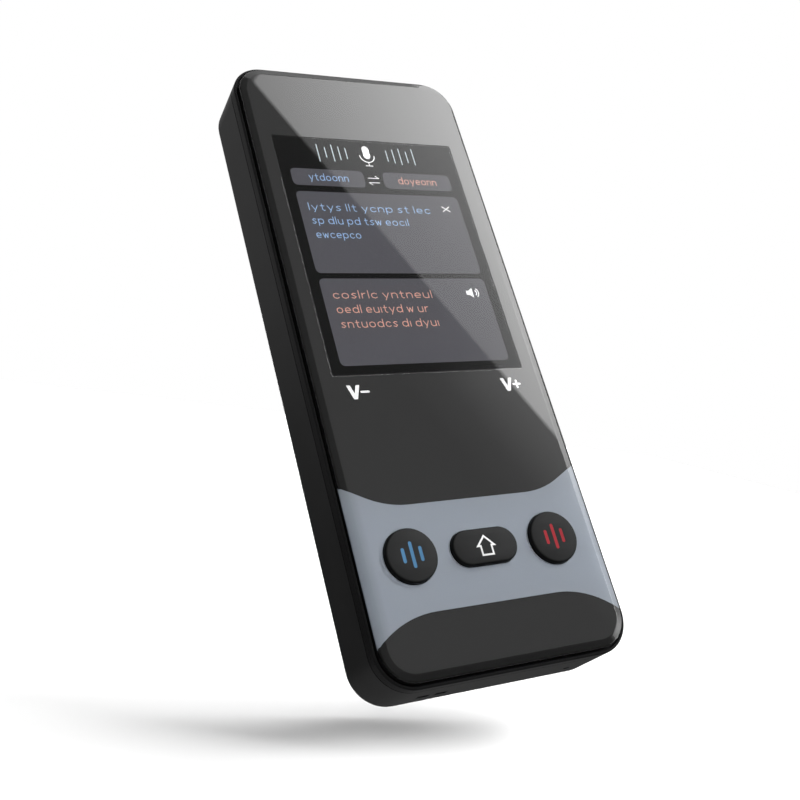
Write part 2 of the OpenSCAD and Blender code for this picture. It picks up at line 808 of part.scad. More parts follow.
module round_key(x) {
    translate([x, key_y, 0]) difference() {
        union() {
            translate([0, 0, key_flange_z]) rotate_extrude() key_cap_section(round_key_r);
            translate([0, 0, key_flange_z]) cylinder(r = round_key_r + key_flange_w, h = key_flange_t);
            key_stem();
        }
        translate([0, 0, key_top - icon_depth]) linear_extrude(icon_depth + cut) voice_bars();
    }
}

// Three upright round-ended bars, the middle one longest
module voice_bars() {
    for (side = [-1, 0, 1]) {
        half = (side == 0 ? 1 : 0.5) * bar_l / 2;
        stroke([side * bar_pitch, -half], [side * bar_pitch, half], bar_w);
    }
}

// Outline of a house-shaped arrow that points up, drawn as a line of even width
arrow_tip = 1.85;
arrow_wing = 1.95;
arrow_body = 1.2;
arrow_foot = 1.8;
arrow_line = 0.32;
module house_arrow() {
    eave = -0.2;
    slope = (arrow_tip - eave) / arrow_wing;
    inner_tip = arrow_tip - arrow_line * sqrt(1 + slope * slope);
    inner_eave = eave + arrow_line;
    inner_wing = (inner_tip - inner_eave) / slope;
    difference() {
        house_outline(arrow_tip, arrow_wing, eave, arrow_body, -arrow_foot);
        house_outline(inner_tip, inner_wing, inner_eave, arrow_body - arrow_line, arrow_line - arrow_foot);
    }
}

module house_outline(tip, wing, eave, body, foot) {
    polygon([[0, tip], [wing, eave], [body, eave], [body, foot],
             [-body, foot], [-body, eave], [-wing, eave]]);
}

module key_icon(x) {
    translate([x, key_y, key_top - icon_depth]) linear_extrude(icon_depth) children();
}

module key_plunger(x) {
    translate([x, key_y, plunger_z]) cylinder(r = plunger_r, h = plunger_top - plunger_z);
}

module key_switch(x) {
    translate([x, key_y, 0]) difference() {
        box(switch_w, switch_w, board_top, switch_h);
        translate([0, 0, board_top + switch_floor_t])
            cylinder(r = plunger_r + plunger_gap, h = switch_h + cut);
    }
}

module left_key() color([0.17, 0.17, 0.18]) round_key(-key_x);
module left_key_icon() color([0.1, 0.4, 0.8]) key_icon(-key_x) voice_bars();
module left_key_plunger() color([0.5, 0.35, 0.2]) key_plunger(-key_x);
module left_key_switch() color([0.6, 0.6, 0.62]) key_switch(-key_x);

module right_key() color([0.17, 0.17, 0.18]) round_key(key_x);
module right_key_icon() color([0.8, 0.1, 0.12]) key_icon(key_x) voice_bars();
module right_key_plunger() color([0.5, 0.35, 0.2]) key_plunger(key_x);
module right_key_switch() color([0.6, 0.6, 0.62]) key_switch(key_x);

module home_key() color([0.17, 0.17, 0.18]) translate([0, key_y, 0]) difference() {
    r = home_key_l / 2;
    half = home_key_w / 2 - r;
    h = key_top - key_flange_z;
    union() {
        for (x = [-half, half])
            translate([x, 0, key_flange_z]) rotate_extrude() key_cap_section(r);
        translate([0, 0, key_flange_z]) rotate([90, 0, 90]) linear_extrude(2 * half, center = true)
            both_edges(0.01, 0, h) key_cap_section(r);
        translate([0, 0, key_flange_z]) linear_extrude(key_flange_t)
            stadium(home_key_w + 2 * key_flange_w, home_key_l + 2 * key_flange_w);
        key_stem();
    }
    translate([0, 0, key_top - icon_depth]) linear_extrude(icon_depth + cut) house_arrow();
}

module home_key_icon() color([0.9, 0.9, 0.9]) key_icon(0) house_arrow();
module home_key_plunger() color([0.5, 0.35, 0.2]) key_plunger(0);
module home_key_switch() color([0.6, 0.6, 0.62]) key_switch(0);

// ---- Side key ----

module side_key() color([0.12, 0.12, 0.13])
    translate([side_key_inner_x, side_key_y, side_key_z]) rotate([90, 0, 90]) {
        linear_extrude(key_flange_t)
            stadium(side_key_l + 2 * side_flange_l, side_key_h + 2 * side_flange_h);
        linear_extrude(case_w / 2 + side_key_proud - side_key_inner_x)
            stadium(side_key_l, side_key_h);
    }

module side_key_plunger() color([0.5, 0.35, 0.2])
    translate([side_switch_x - side_plunger_l, side_key_y, side_key_z]) rotate([0, 90, 0])
        cylinder(r = side_plunger_r, h = side_key_inner_x - side_switch_x + side_plunger_l);

module side_key_switch() color([0.6, 0.6, 0.62]) difference() {
    translate([side_switch_x - side_switch_w / 2, side_key_y, 0])
        box(side_switch_w, side_switch_l, side_switch_z, board_z - side_switch_z);
    translate([side_switch_x - side_plunger_l - side_key_travel - plunger_room, side_key_y, side_key_z])
        rotate([0, 90, 0]) cylinder(r = side_plunger_r + plunger_gap, h = side_switch_w);
}

// ---- USB port ----

usb_mouth_drop = 0.4;
usb_mouth_y = top_y - usb_mouth_drop;
usb_metal_t = 0.3;
usb_back_t = 1;
usb_tongue_w = 6.7;
usb_tongue_t = 0.7;
usb_tongue_drop = 0.9;

module usb_port() color([0.7, 0.71, 0.72]) translate([0, usb_mouth_y, usb_z]) rotate([90, 0, 0])
    difference() {
        linear_extrude(usb_l) stadium(usb_w, usb_h);
        translate([0, 0, -cut]) linear_extrude(usb_l - usb_back_t + cut)
            stadium(usb_w - 2 * usb_metal_t, usb_h - 2 * usb_metal_t);
    }

module usb_tongue() color([0.1, 0.1, 0.1])
    translate([-usb_tongue_w / 2, usb_mouth_y - usb_l + usb_back_t, usb_z - usb_tongue_t / 2])
        cube([usb_tongue_w, usb_l - usb_back_t - usb_tongue_drop, usb_tongue_t]);

// ---- Battery ----

module battery_cell() color([0.72, 0.73, 0.75])
    translate([0, battery_y, 0]) rounded_box(battery_w, battery_l, battery_r, battery_z, battery_t);

module battery_tape() color([0.85, 0.85, 0.8])
    translate([0, battery_y, 0])
        box(battery_w - 2 * battery_tape_inset, battery_l - 2 * battery_tape_inset, floor_t, tape_t);

module battery_board() color([0.1, 0.3, 0.15])
    translate([0, battery_end_y + battery_board_l / 2, 0])
        box(battery_w - 2 * battery_board_inset, battery_board_l, battery_board_z, battery_board_t);

module battery_leads() color([0.7, 0.1, 0.1]) {
    lead_z = battery_board_z + battery_board_t / 2;
    plug_bottom = board_z - battery_plug_h;
    start_y = battery_end_y + battery_board_l;
    for (x = [-0.5, 0.5])
        translate([battery_plug_x + x * lead_pitch, 0, 0]) {
            translate([0, battery_plug_y, lead_z]) rotate([90, 0, 0])
                cylinder(r = lead_r, h = battery_plug_y - start_y);
            translate([0, battery_plug_y, lead_z]) sphere(r = lead_r);
            translate([0, battery_plug_y, lead_z]) cylinder(r = lead_r, h = plug_bottom - lead_z);
        }
}

module battery_connector() color([0.9, 0.88, 0.8])
    translate([battery_plug_x, battery_plug_y, 0])
        box(3 * lead_pitch, 2 * lead_pitch, board_z - battery_plug_h, battery_plug_h);

// ---- Loudspeaker ----

gasket_w = 1.6;
basket_w = 1.2;
basket_t = 0.6;
surround_z = 1.3;
dome_r = 3;
dome_z = 0.5;

module speaker_gasket() color([0.12, 0.12, 0.12]) translate([0, speaker_y, floor_t]) difference() {
    cylinder(r = speaker_r, h = gasket_t);
    translate([0, 0, -cut]) cylinder(r = speaker_r - gasket_w, h = gasket_t + 2 * cut);
}

module speaker_mesh() color([0.2, 0.2, 0.21]) translate([0, speaker_y, floor_t])
    cylinder(r = speaker_r - gasket_w - part_gap, h = tape_t);

module speaker_frame() color([0.3, 0.3, 0.32]) translate([0, speaker_y, speaker_z]) difference() {
    cylinder(r = speaker_r, h = speaker_h);
    translate([0, 0, -cut]) cylinder(r = speaker_r - basket_w, h = cut + surround_z);
    translate([0, 0, -cut]) cylinder(r = magnet_r + 1, h = cut + speaker_h - basket_t);
}

module speaker_cone() color([0.15, 0.15, 0.16]) translate([0, speaker_y, speaker_z]) rotate_extrude()
    polygon([
        [0, dome_z], [dome_r, dome_z], [magnet_r, surround_z - 2 * cone_t],
        [speaker_r - basket_w, surround_z - cone_t], [speaker_r - basket_w, surround_z],
        [magnet_r, surround_z], [dome_r, dome_z + cone_t], [0, dome_z + cone_t]
    ]);

module speaker_magnet() color([0.5, 0.5, 0.52]) translate([0, speaker_y, speaker_z + speaker_h])
    cylinder(r = magnet_r, h = magnet_t);

// Bent contact leaves between the board and the loudspeaker
spring_w = 2;
spring_t = 0.3;
module speaker_springs() color([0.8, 0.65, 0.3]) {
    z0 = speaker_z + speaker_h;
    for (x = [-1, 1])
        translate([x * (magnet_r + spring_w + part_gap), speaker_y + spring_w / 2, 0]) rotate([90, 0, 0])
            linear_extrude(spring_w) difference() {
                translate([-spring_w / 2, z0]) square([spring_w, board_z - z0]);
                translate([x * spring_t - spring_w / 2, z0 + spring_t])
                    square([spring_w, board_z - z0 - 2 * spring_t]);
            }
}

// ---- Microphone ----

module microphone() color([0.75, 0.7, 0.5])
    translate([mic_x, mic_y, 0]) box(mic_w, mic_l, board_z - mic_h, mic_h);

module mic_boot() color([0.07, 0.07, 0.07]) difference() {
    translate([mic_x, -inner_l / 2 + mic_boot_l / 2, 0])
        box(mic_boot_w, mic_boot_l, mic_boot_z, board_z - mic_boot_z);
    translate([mic_x, mic_y, 0]) box(mic_w, mic_l, board_z - mic_h, mic_h + cut);
    translate([mic_x, mic_y, sound_z]) rotate([90, 0, 0])
        cylinder(r = mic_hole_r - 0.1, h = mic_y + inner_l / 2 + cut);
    translate([mic_x, mic_y, sound_z]) cylinder(r = mic_hole_r - 0.1, h = board_z - sound_z);
}

// ---- Radio antenna ----

module antenna() color([0.75, 0.45, 0.15])
    translate([-inner_w / 2, antenna_y - antenna_l / 2, floor_t + 1])
        cube([antenna_t, antenna_l, antenna_h]);

// Bent contact leaves between the board's edge and the antenna on the side wall
module antenna_springs() color([0.8, 0.65, 0.3]) {
    edge_x = -board_w / 2;
    tip_x = -inner_w / 2 + antenna_t;
    for (y = [-1, 1])
        translate([0, antenna_y + (y + 0.5) * spring_w, 0]) rotate([90, 0, 0])
            linear_extrude(spring_w / 2) {
            translate([edge_x, board_z - spring_t]) square([spring_w, spring_t]);
            translate([edge_x, board_z - spring_w]) square([spring_t, spring_w]);
            translate([tip_x, board_z - spring_w]) square([edge_x + spring_t - tip_x, spring_t]);
        }
}

rear_shell();
front_frame();
front_carrier();
cover_glass();
printed_border();
printed_band();
printed_marks();
glass_tape();
touch_sensor();
touch_flex();
lcd_panel();
display_backlight();
display_tray();
display_flex();
display_foam();
main_board();
flex_connectors();
processor_can();
radio_can();
board_chips();
left_key();
left_key_icon();
left_key_plunger();
left_key_switch();
home_key();
home_key_icon();
home_key_plunger();
home_key_switch();
right_key();
right_key_icon();
right_key_plunger();
right_key_switch();
side_key();
side_key_plunger();
side_key_switch();
usb_port();
usb_tongue();
battery_cell();
battery_tape();
battery_board();
battery_leads();
battery_connector();
speaker_frame();
speaker_cone();
speaker_magnet();
speaker_gasket();
speaker_mesh();
speaker_springs();
microphone();
mic_boot();
antenna();
antenna_springs();
board_screws();
case_screws();
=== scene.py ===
import math
import random

import bmesh
import bpy
from mathutils import Matrix, Vector, geometry


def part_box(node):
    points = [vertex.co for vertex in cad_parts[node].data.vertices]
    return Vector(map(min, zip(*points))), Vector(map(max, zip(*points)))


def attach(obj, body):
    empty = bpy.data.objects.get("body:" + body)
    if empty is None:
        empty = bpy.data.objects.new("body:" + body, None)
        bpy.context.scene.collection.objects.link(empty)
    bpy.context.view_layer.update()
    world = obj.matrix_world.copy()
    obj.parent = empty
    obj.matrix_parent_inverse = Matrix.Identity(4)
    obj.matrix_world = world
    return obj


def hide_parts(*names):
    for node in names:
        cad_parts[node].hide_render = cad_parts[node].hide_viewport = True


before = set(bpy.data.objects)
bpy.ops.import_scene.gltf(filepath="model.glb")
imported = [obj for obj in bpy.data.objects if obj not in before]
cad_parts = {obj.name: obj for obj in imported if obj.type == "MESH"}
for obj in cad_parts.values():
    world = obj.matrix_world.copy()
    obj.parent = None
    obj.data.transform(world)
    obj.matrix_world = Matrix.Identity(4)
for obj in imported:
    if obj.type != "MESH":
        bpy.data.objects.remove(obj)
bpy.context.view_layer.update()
MM = 0.001

# ---- View ----
# The camera looks down on the glass from beside the lower left corner. Its place is in millimetres
# from the middle of the back face.


def add_object(name, data):
    """New object in the scene"""
    added = bpy.data.objects.new(name, data)
    bpy.context.scene.collection.objects.link(added)
    return added


camera_place = Vector((-96.76, -84.59, 166.91))
camera_ahead = Vector((0.46518, 0.37814, -0.80038)).normalized()
camera_right = camera_ahead.cross(Vector((0.04982, 0.89155, 0.45017))).normalized()
camera_up = camera_right.cross(camera_ahead)
camera = add_object("view", bpy.data.cameras.new("view"))
camera.data.sensor_width = 36
camera.data.lens = 49.71
camera.data.clip_start = 0.01
camera.matrix_world = (Matrix.Translation(camera_place * MM)
                       @ Matrix((camera_right, camera_up, -camera_ahead)).transposed().to_4x4())
bpy.context.scene.camera = camera

# ---- Rear shell ----
# The deep half of the case, moulded in black ABS. Its outside has the fine even texture of a
# spark-eroded tool, and four posts inside it take the case screws.


def put(tree, value, socket):
    """Link an output, or a node's first output, to a socket, or set the socket's value"""
    if isinstance(value, bpy.types.Node):
        value = value.outputs[0]
    if isinstance(value, bpy.types.NodeSocket):
        tree.links.new(value, socket)
    else:
        socket.default_value = value


def add_node(tree, kind, feeds, **settings):
    """One node, a shader's unless its kind says more, with values or links put on its inputs"""
    whole = kind.startswith(("Geometry", "Function", "NodeGroup"))
    node = tree.nodes.new(kind if whole else "ShaderNode" + kind)
    for key, value in settings.items():
        setattr(node, key, value)
    for socket, value in feeds.items():
        put(tree, value, node.inputs[socket])
    return node


def feed(tree, **feeds):
    """Put values and patterns on the shader's own sockets"""
    for socket, value in feeds.items():
        put(tree, value, tree.nodes["Principled BSDF"].inputs[socket.replace("_", " ")])


def finish(name, **values):
    """A new material and its tree"""
    material = bpy.data.materials.new(name)
    material.use_nodes = True
    feed(material.node_tree, **values)
    return material, material.node_tree


def object_place(tree):
    return add_node(tree, "TexCoord", {}).outputs["Object"]


def grain(tree, size, detail=2.0, stretch=(1, 1, 1)):
    """Cloudy pattern whose lumps are about size millimetres across"""
    scaled = add_node(tree, "Mapping", {
        "Vector": object_place(tree), "Scale": [1 / (size * MM * s) for s in stretch]})
    return add_node(tree, "TexNoise", {
        "Vector": scaled, "Scale": 1.0, "Detail": detail}).outputs["Fac"]


def tone(tree, factor, *stops):
    """Colour that runs through the stops, each a place from 0 to 1 and a colour"""
    ramp = add_node(tree, "ValToRGB", {"Fac": factor})
    while len(ramp.color_ramp.elements) < len(stops):
        ramp.color_ramp.elements.new(0.5)
    for element, (place, colour) in zip(ramp.color_ramp.elements, stops):
        element.position = place
        element.color = (*colour, 1)
    return ramp.outputs["Color"]


def share(tree, value, low, high, start=0.0, end=1.0):
    """Number that runs from start to end as the value goes from low to high"""
    return add_node(tree, "MapRange", {
        "Value": value, "From Min": low, "From Max": high, "To Min": start, "To Max": end})


def level(tree, pattern, start, end):
    """Number that runs from start to end as the pattern goes from dark to light"""
    return share(tree, pattern, 0.3, 0.7, start, end)


def clouded(tree, size, start, end):
    """The same over lumps of a size in millimetres"""
    return level(tree, grain(tree, size), start, end)


def relief(tree, height, depth):
    """Raise the surface by the pattern, depth millimetres from its lows to its highs"""
    feed(tree, Normal=add_node(tree, "Bump", {"Height": height, "Distance": depth * MM}))


def lighter(colour, share):
    return [min(1, c * share) for c in colour]


def moulded(name, colour, roughness, texture=0.14, depth=0.004, **values):
    """Moulded plastic: faint clouds in its colour, and the tool's texture in its gloss and surface"""
    material, tree = finish(name, **values)
    clouds = grain(tree, 8)
    fine = grain(tree, texture, detail=3)
    feed(tree, Base_Color=tone(tree, clouds, (0.3, lighter(colour, 0.88)), (0.7, lighter(colour, 1.12))),
         Roughness=level(tree, fine, roughness - 0.05, roughness + 0.05))
    relief(tree, fine, depth)
    return material


def dress(material, *names):
    """Give a finish to solids that stay as they are"""
    for name in names:
        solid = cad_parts[name]
        solid.data.materials.clear()
        solid.data.materials.append(material)


dress(moulded("case_plastic", (0.0142, 0.0142, 0.0146), 0.42), "rear_shell")

# ---- Loudspeaker ----
# A steel basket with a pressed film cone over its magnet. It sits on a rubber gasket, faces the
# grille in the back through a woven dust cloth, and touches the board with two gilt springs.


def rolled(name, colour, roughness, stretch=(12, 1, 1)):
    """Sheet metal with the fine parallel lines of its rolling"""
    material, tree = finish(name, Metallic=1.0)
    lines = grain(tree, 0.08, detail=4, stretch=stretch)
    feed(tree, Base_Color=tone(tree, lines, (0.25, lighter(colour, 0.8)), (0.75, lighter(colour, 1.15))),
         Roughness=level(tree, lines, roughness - 0.06, roughness + 0.08))
    relief(tree, lines, 0.002)
    return material


def bands(tree, pitch, axis):
    """Soft lines across an axis, pitch millimetres apart"""
    return add_node(tree, "TexWave", {
        "Vector": object_place(tree), "Scale": 0.5 / (pitch * MM) / math.pi},
        bands_direction=axis).outputs["Fac"]


thread_pitch = 0.22
dust_cloth, cloth_tree = finish("dust_cloth", Specular_IOR_Level=0.2)
cloth_weave = add_node(cloth_tree, "Math", {
    i: bands(cloth_tree, thread_pitch, axis) for i, axis in enumerate("XY")}, operation="MULTIPLY")
feed(cloth_tree, Base_Color=tone(cloth_tree, cloth_weave,
                                 (0.1, (0.004, 0.004, 0.004)), (0.8, (0.05, 0.05, 0.052))),
     Roughness=clouded(cloth_tree, 0.5, 0.75, 0.9))
relief(cloth_tree, cloth_weave, 0.04)

cone_y = -41.7
cone_film, cone_tree = finish("cone_film", Specular_IOR_Level=0.4)
cone_rings = add_node(cone_tree, "TexWave", {
    "Vector": add_node(cone_tree, "Mapping", {
        "Vector": object_place(cone_tree), "Location": (0, -cone_y * MM, 0)}),
    "Scale": 180.0}, wave_type="RINGS", rings_direction="Z").outputs["Fac"]
feed(cone_tree, Base_Color=tone(cone_tree, cone_rings, (0, (0.02, 0.02, 0.021)), (1, (0.05, 0.05, 0.052))),
     Roughness=clouded(cone_tree, 0.4, 0.4, 0.55))
relief(cone_tree, cone_rings, 0.03)

contact_gilt = rolled("contact_gilt", (0.8, 0.56, 0.22), 0.22)
dress(moulded("soft_rubber", (0.02, 0.02, 0.02), 0.75, texture=0.3, depth=0.01), "speaker_gasket", "mic_boot")
dress(dust_cloth, "speaker_mesh")
dress(rolled("basket_steel", (0.2, 0.2, 0.21), 0.4, stretch=(1, 1, 1)), "speaker_frame")
dress(cone_film, "speaker_cone")
dress(rolled("magnet_nickel", (0.42, 0.41, 0.38), 0.25), "speaker_magnet")
dress(contact_gilt, "speaker_springs", "antenna_springs")

# ---- Battery ----
# A lithium cell in a pouch of laminated foil that is pressed to a flat seam at its end. Tape holds
# it to the case floor, and a small board on its end passes two insulated leads to a plug.


def new_piece(name, bm, material, body, slot, *replaced, crease=35):
    """Finished object from a closed mesh drawn in millimetres, which moves with a body"""
    bmesh.ops.recalc_face_normals(bm, faces=bm.faces)
    bmesh.ops.scale(bm, vec=(MM, MM, MM), verts=bm.verts)
    mesh = bpy.data.meshes.new(name)
    bm.to_mesh(mesh)
    bm.free()
    return fit_piece(add_object(name, mesh), material, body, slot, *replaced, crease=crease)


def fit_piece(piece, material, body, slot, *replaced, crease=35):
    """Finish and body of a piece that is already an object; its slot is not used"""
    if material is not None:
        piece.data.materials.clear()
        piece.data.materials.append(material)
    piece.data.shade_smooth()
    piece.data.set_sharp_from_angle(angle=math.radians(crease))
    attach(piece, body)
    if replaced:
        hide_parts(*replaced)
    return piece


def box_mm(name):
    """Lowest and highest corner of a solid, in millimetres"""
    return [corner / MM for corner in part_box(name)]


battery_foil, foil_tree = finish("battery_foil", Metallic=0.9)
foil_folds = grain(foil_tree, 1.6, detail=6)
feed(foil_tree, Base_Color=tone(foil_tree, foil_folds, (0.3, (0.45, 0.46, 0.48)), (0.7, (0.62, 0.63, 0.65))),
     Roughness=level(foil_tree, foil_folds, 0.28, 0.42))
relief(foil_tree, foil_folds, 0.03)
cell_low, cell_high = box_mm("battery_cell")
cell_size = cell_high - cell_low
cell_centre = (cell_low + cell_high) / 2
cell_seam = 2.4
cell_steps = 16
side_round = 0.035
swelling = 0.1
seam_thinning = 0.86
bm = bmesh.new()
bmesh.ops.create_cube(bm, size=1)
bmesh.ops.subdivide_edges(bm, edges=bm.edges, cuts=cell_steps - 1, use_grid_fill=True)
for vertex in bm.verts:
    u, v, h = vertex.co * 2
    # the pouch swells towards its middle, rounds at its sides and thins to a seam at its end
    reach = 0.5 - side_round * h * h
    seam = max(0.0, (v + 1) / 2 - 1 + cell_seam / cell_size.y) / (cell_seam / cell_size.y)
    swell = ((1 - swelling + swelling * (1 - u * u) * (1 - v * v))
             * (1 - seam_thinning * min(1, seam * 2.2)))
    vertex.co = Vector((u * reach * cell_size.x, v * 0.5 * cell_size.y,
                        h * 0.5 * swell * cell_size.z)) + cell_centre
new_piece("battery_pouch", bm, battery_foil, "case", "battery_foil", "battery_cell", crease=60)


def coordinate(tree, axis):
    return add_node(tree, "SeparateXYZ", {0: object_place(tree)}).outputs[axis]


# the plug's middle lies between the red lead and the black one
plug_x = -6
lead_wire, wire_tree = finish("lead_wire", Specular_IOR_Level=0.4)
wire_side = add_node(wire_tree, "Math", {
    0: coordinate(wire_tree, "X"), 1: plug_x * MM}, operation="GREATER_THAN")
feed(wire_tree, Base_Color=tone(wire_tree, wire_side,
                                (0.4, (0.35, 0.008, 0.01)), (0.6, (0.015, 0.015, 0.016))),
     Roughness=clouded(wire_tree, 0.3, 0.35, 0.5))
dress(moulded("tape_film", (0.55, 0.52, 0.4), 0.5, texture=0.6), "battery_tape")
dress(lead_wire, "battery_leads")
dress(moulded("plug_plastic", (0.72, 0.7, 0.62), 0.4, texture=0.3), "battery_connector")

# ---- Antenna ----
# A flexible film with a copper pattern, stuck to the inside of the left wall. Two gilt springs on
# the board's edge press against it.


def copper_film(name, film, copper, pitch, axis):
    """Amber film over copper lines that lie pitch millimetres apart"""
    material, tree = finish(name, Coat_Weight=0.3)
    lines = bands(tree, pitch, axis)
    feed(tree, Base_Color=tone(tree, lines, (0.45, film), (0.55, copper)),
         Roughness=clouded(tree, 1.2, 0.25, 0.4))
    relief(tree, lines, 0.01)
    return material


dress(copper_film("antenna_film", (0.3, 0.12, 0.02), (0.55, 0.26, 0.1), 1.9, "Y"), "antenna")

# ---- USB-C port ----
# A drawn steel shell on the board's underside, open at the case's top end. Its tongue carries
# twelve gilt contacts on each face.
dress(rolled("port_steel", (0.6, 0.6, 0.61), 0.28, stretch=(1, 1, 10)), "usb_port")
dress(moulded("tongue_plastic", (0.018, 0.018, 0.018), 0.5, texture=0.2), "usb_tongue")


def begin_tree(name, sizes):
    """Empty tree with a mesh in, a mesh out and a named input for each size"""
    tree = bpy.data.node_groups.new(name, "GeometryNodeTree")
    tree.interface.new_socket("Mesh", in_out="INPUT", socket_type="NodeSocketGeometry")
    for label, kind in sizes.items():
        tree.interface.new_socket(label, in_out="INPUT", socket_type="NodeSocket" + kind)
    tree.interface.new_socket("Mesh", in_out="OUTPUT", socket_type="NodeSocketGeometry")
    return tree, tree.nodes.new("NodeGroupInput").outputs


def end_tree(tree, shape, material):
    """Close a tree: instances made real, then the finish"""
    real = add_node(tree, "GeometryNodeRealizeInstances", {"Geometry": shape})
    dressed = add_node(tree, "GeometryNodeSetMaterial", {"Geometry": real, "Material": material})
    add_node(tree, "NodeGroupOutput", {"Mesh": dressed})


def grow(name, tree, source_mesh, sizes):
    """Run a tree on a mesh and keep its result as a plain mesh"""
    source = add_object(name + "_source", source_mesh)
    modifier = source.modifiers.new("grow", "NODES")
    modifier.node_group = tree
    sockets = {item.name: item.identifier for item in tree.interface.items_tree
               if item.in_out == "INPUT"}
    for label, value in sizes.items():
        modifier[sockets[label]] = value
    evaluated = source.evaluated_get(bpy.context.evaluated_depsgraph_get())
    mesh = bpy.data.meshes.new_from_object(evaluated)
    bpy.data.objects.remove(source)
    return add_object(name, mesh)


def points_mesh(name, points, edges=()):
    mesh = bpy.data.meshes.new(name)
    mesh.from_pydata([Vector(p) * MM for p in points], edges, [])
    return mesh


# One block on each point of the mesh
block_tree, block_in = begin_tree("blocks", {"Size": "Vector", "Finish": "Material"})
block = add_node(block_tree, "GeometryNodeMeshCube", {"Size": block_in["Size"]})
block_set = add_node(block_tree, "GeometryNodeInstanceOnPoints", {
    "Points": block_in["Mesh"], "Instance": block})
end_tree(block_tree, block_set, block_in["Finish"])

contact_pitch = 0.5
contact_size = (0.26, 3.4, 0.04)
contact_inset = 0.5
tongue_low, tongue_high = box_mm("usb_tongue")
contact_places = [(contact_pitch * (i - 5.5), tongue_high.y - contact_inset - contact_size[1] / 2, z)
                  for i in range(12) for z in (tongue_low.z, tongue_high.z)]
usb_contacts = grow("usb_contacts", block_tree, points_mesh("usb_contacts", contact_places), {
    "Size": Vector(contact_size) * MM, "Finish": contact_gilt})
fit_piece(usb_contacts, contact_gilt, "case", "contact_brass")

# ---- Microphone ----
# A small metal can on the board's underside, in the rubber boot that leads to the hole in the
# bottom end.
dress(rolled("mic_can", (0.7, 0.62, 0.4), 0.3), "microphone")

# ---- Main board ----
# A green laminate with fine copper tracks under its solder mask. Two tinned cans shield the
# processor and the radio, and rows of resistors and capacitors stand beside them.
board_mask, mask_tree = finish("board_mask", Coat_Weight=0.4, Coat_Roughness=0.2)
mask_tracks = add_node(mask_tree, "TexBrick", {
    "Vector": object_place(mask_tree), "Scale": 1 / (2.2 * MM), "Mortar Size": 0.06, "Mortar Smooth": 0.3,
    "Color1": (0.006, 0.055, 0.028, 1), "Color2": (0.007, 0.068, 0.034, 1),
    "Mortar": (0.02, 0.12, 0.06, 1)})
feed(mask_tree, Base_Color=mask_tracks.outputs["Color"],
     Roughness=clouded(mask_tree, 0.8, 0.3, 0.42))
relief(mask_tree, mask_tracks.outputs["Fac"], 0.02)
can_tin = rolled("can_tin", (0.66, 0.67, 0.69), 0.3)
dress(board_mask, "main_board", "battery_board")
dress(can_tin, "processor_can", "radio_can")
dress(moulded("chip_resin", (0.014, 0.014, 0.015), 0.6, texture=0.1), "board_chips")

part_size = (0.7, 0.5, 0.4)
end_size = (0.2, 0.54, 0.44)
end_reach = 0.42
part_z = box_mm("main_board")[1].z + part_size[2] / 2
part_places = [(x, y, part_z) for x in (-13.2, -12.0, -10.8) for y in (-30.5, -32, -33.5)]
part_places += [(x, 39.5, part_z) for x in (-15, -13.4, -11.8, 3, 4.6, 6.2)]
end_places = [(x + side * end_reach, y, z) for x, y, z in part_places for side in (-1, 1)]
ceramic = moulded("capacitor_body", (0.24, 0.16, 0.09), 0.45, texture=0.2)
for name, places, size, material, slot in (("small_parts", part_places, part_size, ceramic, "chip_resin"),
                                           ("small_part_ends", end_places, end_size, can_tin, "can_steel")):
    small_set = grow(name, block_tree, points_mesh(name, places), {
        "Size": Vector(size) * MM, "Finish": material})
    fit_piece(small_set, material, "case", slot)

# ---- Flexes and connectors ----
# Amber polyimide tails with fine copper lines, one from the display and one from the touch sensor.
# They run down into two moulded connectors on the board.
dress(copper_film("flex_film", (0.32, 0.13, 0.02), (0.5, 0.24, 0.07), 0.35, "X"),
      "touch_flex", "display_flex")
dress(moulded("connector_plastic", (0.05, 0.045, 0.038), 0.45, texture=0.2), "flex_connectors")

# ---- Switches ----
# Stamped steel housings, three on the board and one at the wall for the power key. A small moulded
# plunger under each key presses on its switch.
switch_steel = rolled("switch_steel", (0.5, 0.5, 0.52), 0.35)
plunger_plastic = moulded("plunger_plastic", (0.22, 0.11, 0.045), 0.4)
for key in ("left_key", "home_key", "right_key", "side_key"):
    dress(switch_steel, key + "_switch")
    dress(plunger_plastic, key + "_plunger")

# ---- Display ----
# A liquid crystal panel on its light guide, which lies in a stamped steel tray. Foam under the tray
# presses it up against the glass.
dress(moulded("guide_plastic", (0.8, 0.8, 0.78), 0.35, texture=0.25), "display_backlight")
dress(rolled("tray_steel", (0.6, 0.61, 0.62), 0.3, stretch=(1, 14, 1)), "display_tray")
dress(moulded("foam_cells", (0.03, 0.03, 0.032), 0.85, texture=0.35, depth=0.06), "display_foam")
pixel = 0.153

panel_black, panel_tree = finish("panel_black", Specular_IOR_Level=0.0)
panel_cells = add_node(panel_tree, "TexBrick", {
    "Vector": object_place(panel_tree), "Scale": 1 / (2 * pixel * MM), "Mortar Size": 0.05,
    "Color1": (0.0018, 0.0018, 0.002, 1), "Color2": (0.0022, 0.0022, 0.0024, 1),
    "Mortar": (0.0014, 0.0014, 0.0014, 1)}, offset=0.0).outputs["Color"]
feed(panel_tree, Base_Color=panel_cells, Roughness=clouded(panel_tree, 6, 0.3, 0.4))
dress(panel_black, "lcd_panel")

# ---- Picture on the display ----
# What the lit panel shows: two cards of text with a chip over each, a microphone between two sound
# waves, and three small signs. Each shape is a thin film on the panel's front.
backlight_and_painted_glow = 0.62


